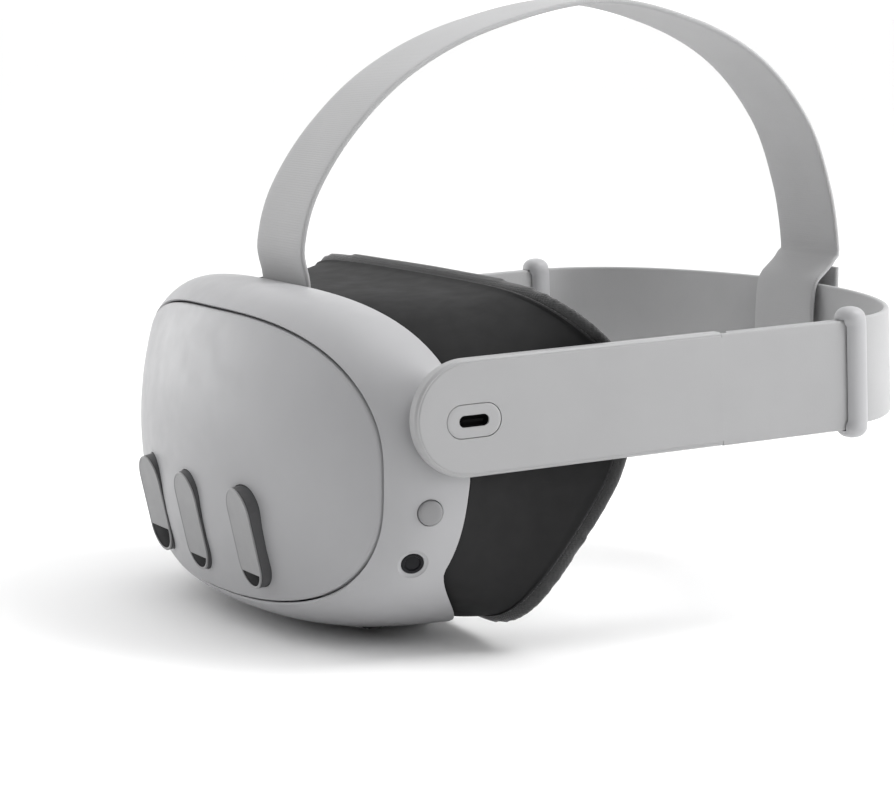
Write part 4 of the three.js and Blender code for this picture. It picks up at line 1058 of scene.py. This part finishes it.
def spline(points, step):
    """A Catmull-Rom curve through the points, evenly spaced, and its length."""
    p = np.asarray(points, float)
    fine = []
    for i in range(len(p) - 1):
        p0, p1, p2, p3 = p[max(i - 1, 0)], p[i], p[i + 1], p[min(i + 2, len(p) - 1)]
        a, b = (p2 - p0) / 2, (p3 - p1) / 2
        for t in np.linspace(0, 1, 24, endpoint=False):
            cubic, square = 2 * p1 - 2 * p2 + a + b, -3 * p1 + 3 * p2 - 2 * a - b
            fine.append(cubic * t ** 3 + square * t ** 2 + a * t + p1)
    fine = np.array([*fine, p[-1]])
    along = lengths(fine)
    at = np.linspace(0, along[-1], int(along[-1] / step) + 1)
    return np.stack([np.interp(at, along, column) for column in fine.T], 1), along[-1]


def top_strap():
    width, thickness = TOP_STRAP["width"], TOP_STRAP["thickness"]
    flat_path, length = spline(TOP_STRAP_PATH, 1.6)
    path = np.insert(flat_path, 0, 0, axis=1)
    strap = ribbon("top_strap_webbing", path, (1, 0, 0), width, thickness, 0.8)
    strap.data.materials.append(LOOKS["webbing"])
    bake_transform(strap)
    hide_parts("top_strap")
    return path


def stitch_row(places, length=2.0, radius=0.17):
    """Short threads across a strap, one at each place, sunk at both ends."""
    rows = []
    for x, y, z in places:
        rings = []
        for t in np.linspace(-1, 1, 7):
            arch = math.cos(t * math.pi / 2)
            r = radius * (0.45 + 0.55 * arch ** 0.5)
            rings.append([(x + t * length / 2, y + 0.16 * arch + r * math.sin(a), z + r * math.cos(a))
                          for a in np.linspace(0, 2 * math.pi, 6, endpoint=False)])
        rows.append(loft("thread", rings))
    return rows


def tail_stitches(path):
    """The box of stitches that holds the hook pad on the strap's tail."""
    y, z = path[-1][1] + TOP_STRAP["thickness"] / 2, path[-1][2]
    rows = []
    for below, sink in ((2.2, 0.0), (13.5, 0.35)):
        rows += stitch_row([(x, y - sink, z - below) for x in np.arange(-14.4, 14.5, 2.9)])
    dress(merged("tail_stitches", rows), "stitch", "headband")


def rear_strap():
    inner, outer, bar = STRAP["band_inner"], STRAP["band_outer"], STRAP["bar"]
    reach = (outer + inner) / 2
    straight = np.linspace(STRAP["front"] + 1, bar, 24, endpoint=False)
    flat = [(reach, y) for y in straight]
    flat += [(reach * math.cos(a), bar + STRAP["rear_depth"] * math.sin(a))
             for a in np.linspace(0, math.pi, 121)]
    flat += [(-reach, y) for y in reversed(straight)]
    path = lean([(x, y, 0) for x, y in flat])
    across = lean((0, 0, 1)) - lean((0, 0, 0))
    strap = ribbon("rear_band_webbing", path, across, STRAP["height"], outer - inner, 0.7)
    dress(strap, "band", "headband", ["rear_strap"])


def side_strap(name, side):
    """The strap that carries the arm's face on to the slider."""
    inner, outer = STRAP["side_inner"], STRAP["side_outer"] + 0.04

    def around(inset):
        half = STRAP["side_height"] / 2 - inset
        start, end = ARM["end"] + 0.02, STRAP["bar"] + 3 - inset
        points = []
        corners = ((end, 1, 1.2), (start, 1, 0.1), (start, -1, 0.1), (end, -1, 1.2))
        for turn, (y, z_way, radius) in enumerate(corners):
            y_way = 1 if y == end else -1
            z = STRAP["side_z"] + z_way * (half - radius)
            points += quarter(y - y_way * radius, z, radius, turn, 6)
        return points

    strap = layers(f"side_strap_skin_{name}", around, [
        (0.5, inner), (0.12, inner + 0.12), (0, inner + 0.4), (0, outer - 0.5), (0.1, outer - 0.22),
        (0.3, outer - 0.06), (0.6, outer), (3, outer)], arm_place(side))
    dress(strap, "strap_skin", "headband", [f"side_strap_{name}"])


def slider(name, side):
    """The bar that both straps run through: a waisted rod with domed ends."""
    half, dome = BAR["height"] / 2, 3.3
    middle = (STRAP["side_outer"] + STRAP["band_inner"]) / 2
    end = [(half - dome * (1 - math.sin(a)), max(math.cos(a) ** 0.8, 0.02), 0.0)
           for a in np.linspace(0, math.pi / 2, 9)[:0:-1]]
    end += [(half - dome, 1.0, 0.0), (half - 4.2, 0.985, 0.15), (half - 5.2, 0.93, 0.5)]
    rings = []
    for z, share, shift in end + [(-z, share, shift) for z, share, shift in reversed(end)]:
        x, y = superellipse(BAR["width"] / 2 * share, BAR["length"] / 2 * share, 2.3, 48).T
        rings.append(lean(np.stack([side * (middle + x), STRAP["bar"] + y + shift, np.full(48, z)], 1)))
    rod = loft(f"slider_bar_{name}", rings)
    reach = STRAP["side_height"] / 2 + 0.15
    cutter = prism_cutter(box(-2.3, 2.3, -6, 6), STRAP["side_z"] - reach, STRAP["side_z"] + reach,
                          lambda u, v, w: lean((side * (middle + u), STRAP["bar"] + v, w)))
    carve(rod, cutter)
    dress(rod, "shell", f"slider_{name}_body", [f"slider_{name}"])


# ---------------------------------------------------------------- carried-over inner parts
def paint_inner_parts():
    for look, nodes in (
            ("metal", ["sensor_bar", "mid_frame", "heat_sink", "pivot_bush_left", "pivot_bush_right",
                       "pivot_pin_left", "pivot_pin_right"]),
            ("board", ["mainboard"]), ("black", ["fan_housing", "fan_rotor"]), ("cell", ["battery"])):
        for node in nodes:
            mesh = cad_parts[node].data
            mesh.materials.clear()
            mesh.materials.append(LOOKS[look])


# ---------------------------------------------------------------- stage, lights and camera
def studio():
    """A pale floor, far wider than any view."""
    rings, count = (0.2, 0.4, 0.8, 1.6, 4.0, 20.0, 200.0, FLOOR_RADIUS), 96
    angles = np.linspace(0, 2 * math.pi, count, endpoint=False)
    vertices = [(0.0, 0.0, FLOOR_Z)]
    vertices += [(r * math.cos(a), r * math.sin(a), FLOOR_Z) for r in rings for a in angles]
    faces = [(0, 1 + i, 1 + (i + 1) % count) for i in range(count)]
    for near in range(1, 1 + (len(rings) - 1) * count, count):
        far = near + count
        faces += [(near + i, far + i, far + (i + 1) % count, near + (i + 1) % count) for i in range(count)]
    mesh = bpy.data.meshes.new("studio_floor")
    mesh.from_pydata(vertices, [], faces)
    paint = Paint("studio_paper", (0.97, 0.97, 0.97), 0.9)
    paint.tint(paint.ranged(paint.noise(3), 0, 1), 0.995, 1.0)
    mesh.materials.append(paint.material)
    add_object("studio_floor", mesh)


def area_light(name, location, target, size, power):
    data = bpy.data.lights.new(name, "AREA")
    data.shape = "RECTANGLE"
    data.size, data.size_y = size
    data.energy = power
    light = add_object(name, data)
    light.location = location
    light.rotation_euler = (Vector(target) - Vector(location)).to_track_quat("-Z", "Y").to_euler()
    light.visible_camera = False


def ramp(tree, value, levels):
    """A smooth run of [at, level] pairs over a value from 0 to 1."""
    made = add_node(tree, "ShaderNodeValToRGB")
    made.color_ramp.interpolation = "EASE"
    stops = made.color_ramp.elements
    while len(stops) < len(levels):
        stops.new(0.5)
    for stop, (at, level) in zip(stops, levels):
        stop.position = at
        stop.color = (level, level, level, 1)
    tree.links.new(value, made.inputs["Fac"])
    return made.outputs["Color"]


def along(tree, way):
    """How far a direction points a given way, from 0 to 1."""
    toward = add_node(tree, "ShaderNodeVectorMath", operation="DOT_PRODUCT")
    toward.inputs[1].default_value = Vector(way).normalized()
    tree.links.new(add_node(tree, "ShaderNodeTexCoord").outputs["Generated"], toward.inputs[0])
    half = add_node(tree, "ShaderNodeMath", operation="MULTIPLY_ADD")
    half.inputs[1].default_value = half.inputs[2].default_value = 0.5
    tree.links.new(toward.outputs["Value"], half.inputs[0])
    return half.outputs["Value"]


def studio_air(dim_way, side_levels, height_levels, strength):
    """Soft light from all round: brightest overhead, and dimmer from one side."""
    world = bpy.data.worlds.new("studio_air")
    bpy.context.scene.world = world
    world.use_nodes = True
    tree = world.node_tree
    both = add_node(tree, "ShaderNodeMix", data_type="RGBA", blend_type="MULTIPLY")
    [s for s in both.inputs if s.enabled and s.name == "Factor"][0].default_value = 1.0
    for socket, way, levels in zip([s for s in both.inputs if s.type == "RGBA"], ((0, 0, 1), dim_way),
                                   (height_levels, side_levels)):
        tree.links.new(ramp(tree, along(tree, way), levels), socket)
    background = tree.nodes["Background"]
    tree.links.new([s for s in both.outputs if s.type == "RGBA"][0], background.inputs["Color"])
    background.inputs["Strength"].default_value = strength


def lighting():
    side_levels = ((0.0, 1.0), (0.55, 0.85), (0.8, 0.12), (1.0, 0.06))
    height_levels = ((0.0, 0.2), (0.46, 0.35), (0.5, 0.5), (0.6, 0.5), (0.75, 0.5), (0.88, 0.65), (1.0, 0.8))
    studio_air((0.9, -0.42, 0.0), side_levels, height_levels, 2.4)
    for name, location, target, size, power in (
            ("left_softbox", (-1.4, -0.7, 0.25), (0, 0, 0.05), (1.2, 0.6), 4),
            ("rear_softbox", (1.1, 1.3, 0.5), (0, 0.08, 0.06), (0.6, 0.8), 9),
            ("crown_softbox", (0.4, 0.7, 1.1), (0, 0, 0.08), (0.5, 0.5), 7),
            ("right_softbox", (1.3, -0.1, 1.0), (0, 0, 0.07), (0.7, 0.7), 2)):
        area_light(name, location, target, size, power)
    bpy.context.scene.view_settings.view_transform = "Standard"


def camera():
    data = bpy.data.cameras.new("view")
    data.lens = 116.2
    data.sensor_width = 36
    data.clip_end = 5000
    eye = add_object("view", data)
    azimuth, elevation = 62.82, 7.46
    eye.location = (0.7319, -0.3400, 0.1655)
    eye.rotation_euler = (math.radians(90 - elevation), 0, math.radians(azimuth))
    bpy.context.scene.camera = eye


camera()
lighting()
studio()
front_cover()
for index, name in ((-1, "right"), (0, "center"), (1, "left")):
    sensor_pod(index, name)
visor_shell()
side_cameras()
power_button()
volume_rocker()
ipd_dial()
charge_pads()
rear_housing()
lens_gaskets()
proximity_window()
strap_anchor()
pad_wall()
pad_cushion()
pad_piping()
for name, side in SIDES.items():
    lens_set(name, side)
    arm(name, side)
    arm_liner(name, side)
    side_strap(name, side)
    slider(name, side)
usb_port()
audio_port()
tail_stitches(top_strap())
rear_strap()
paint_inner_parts()
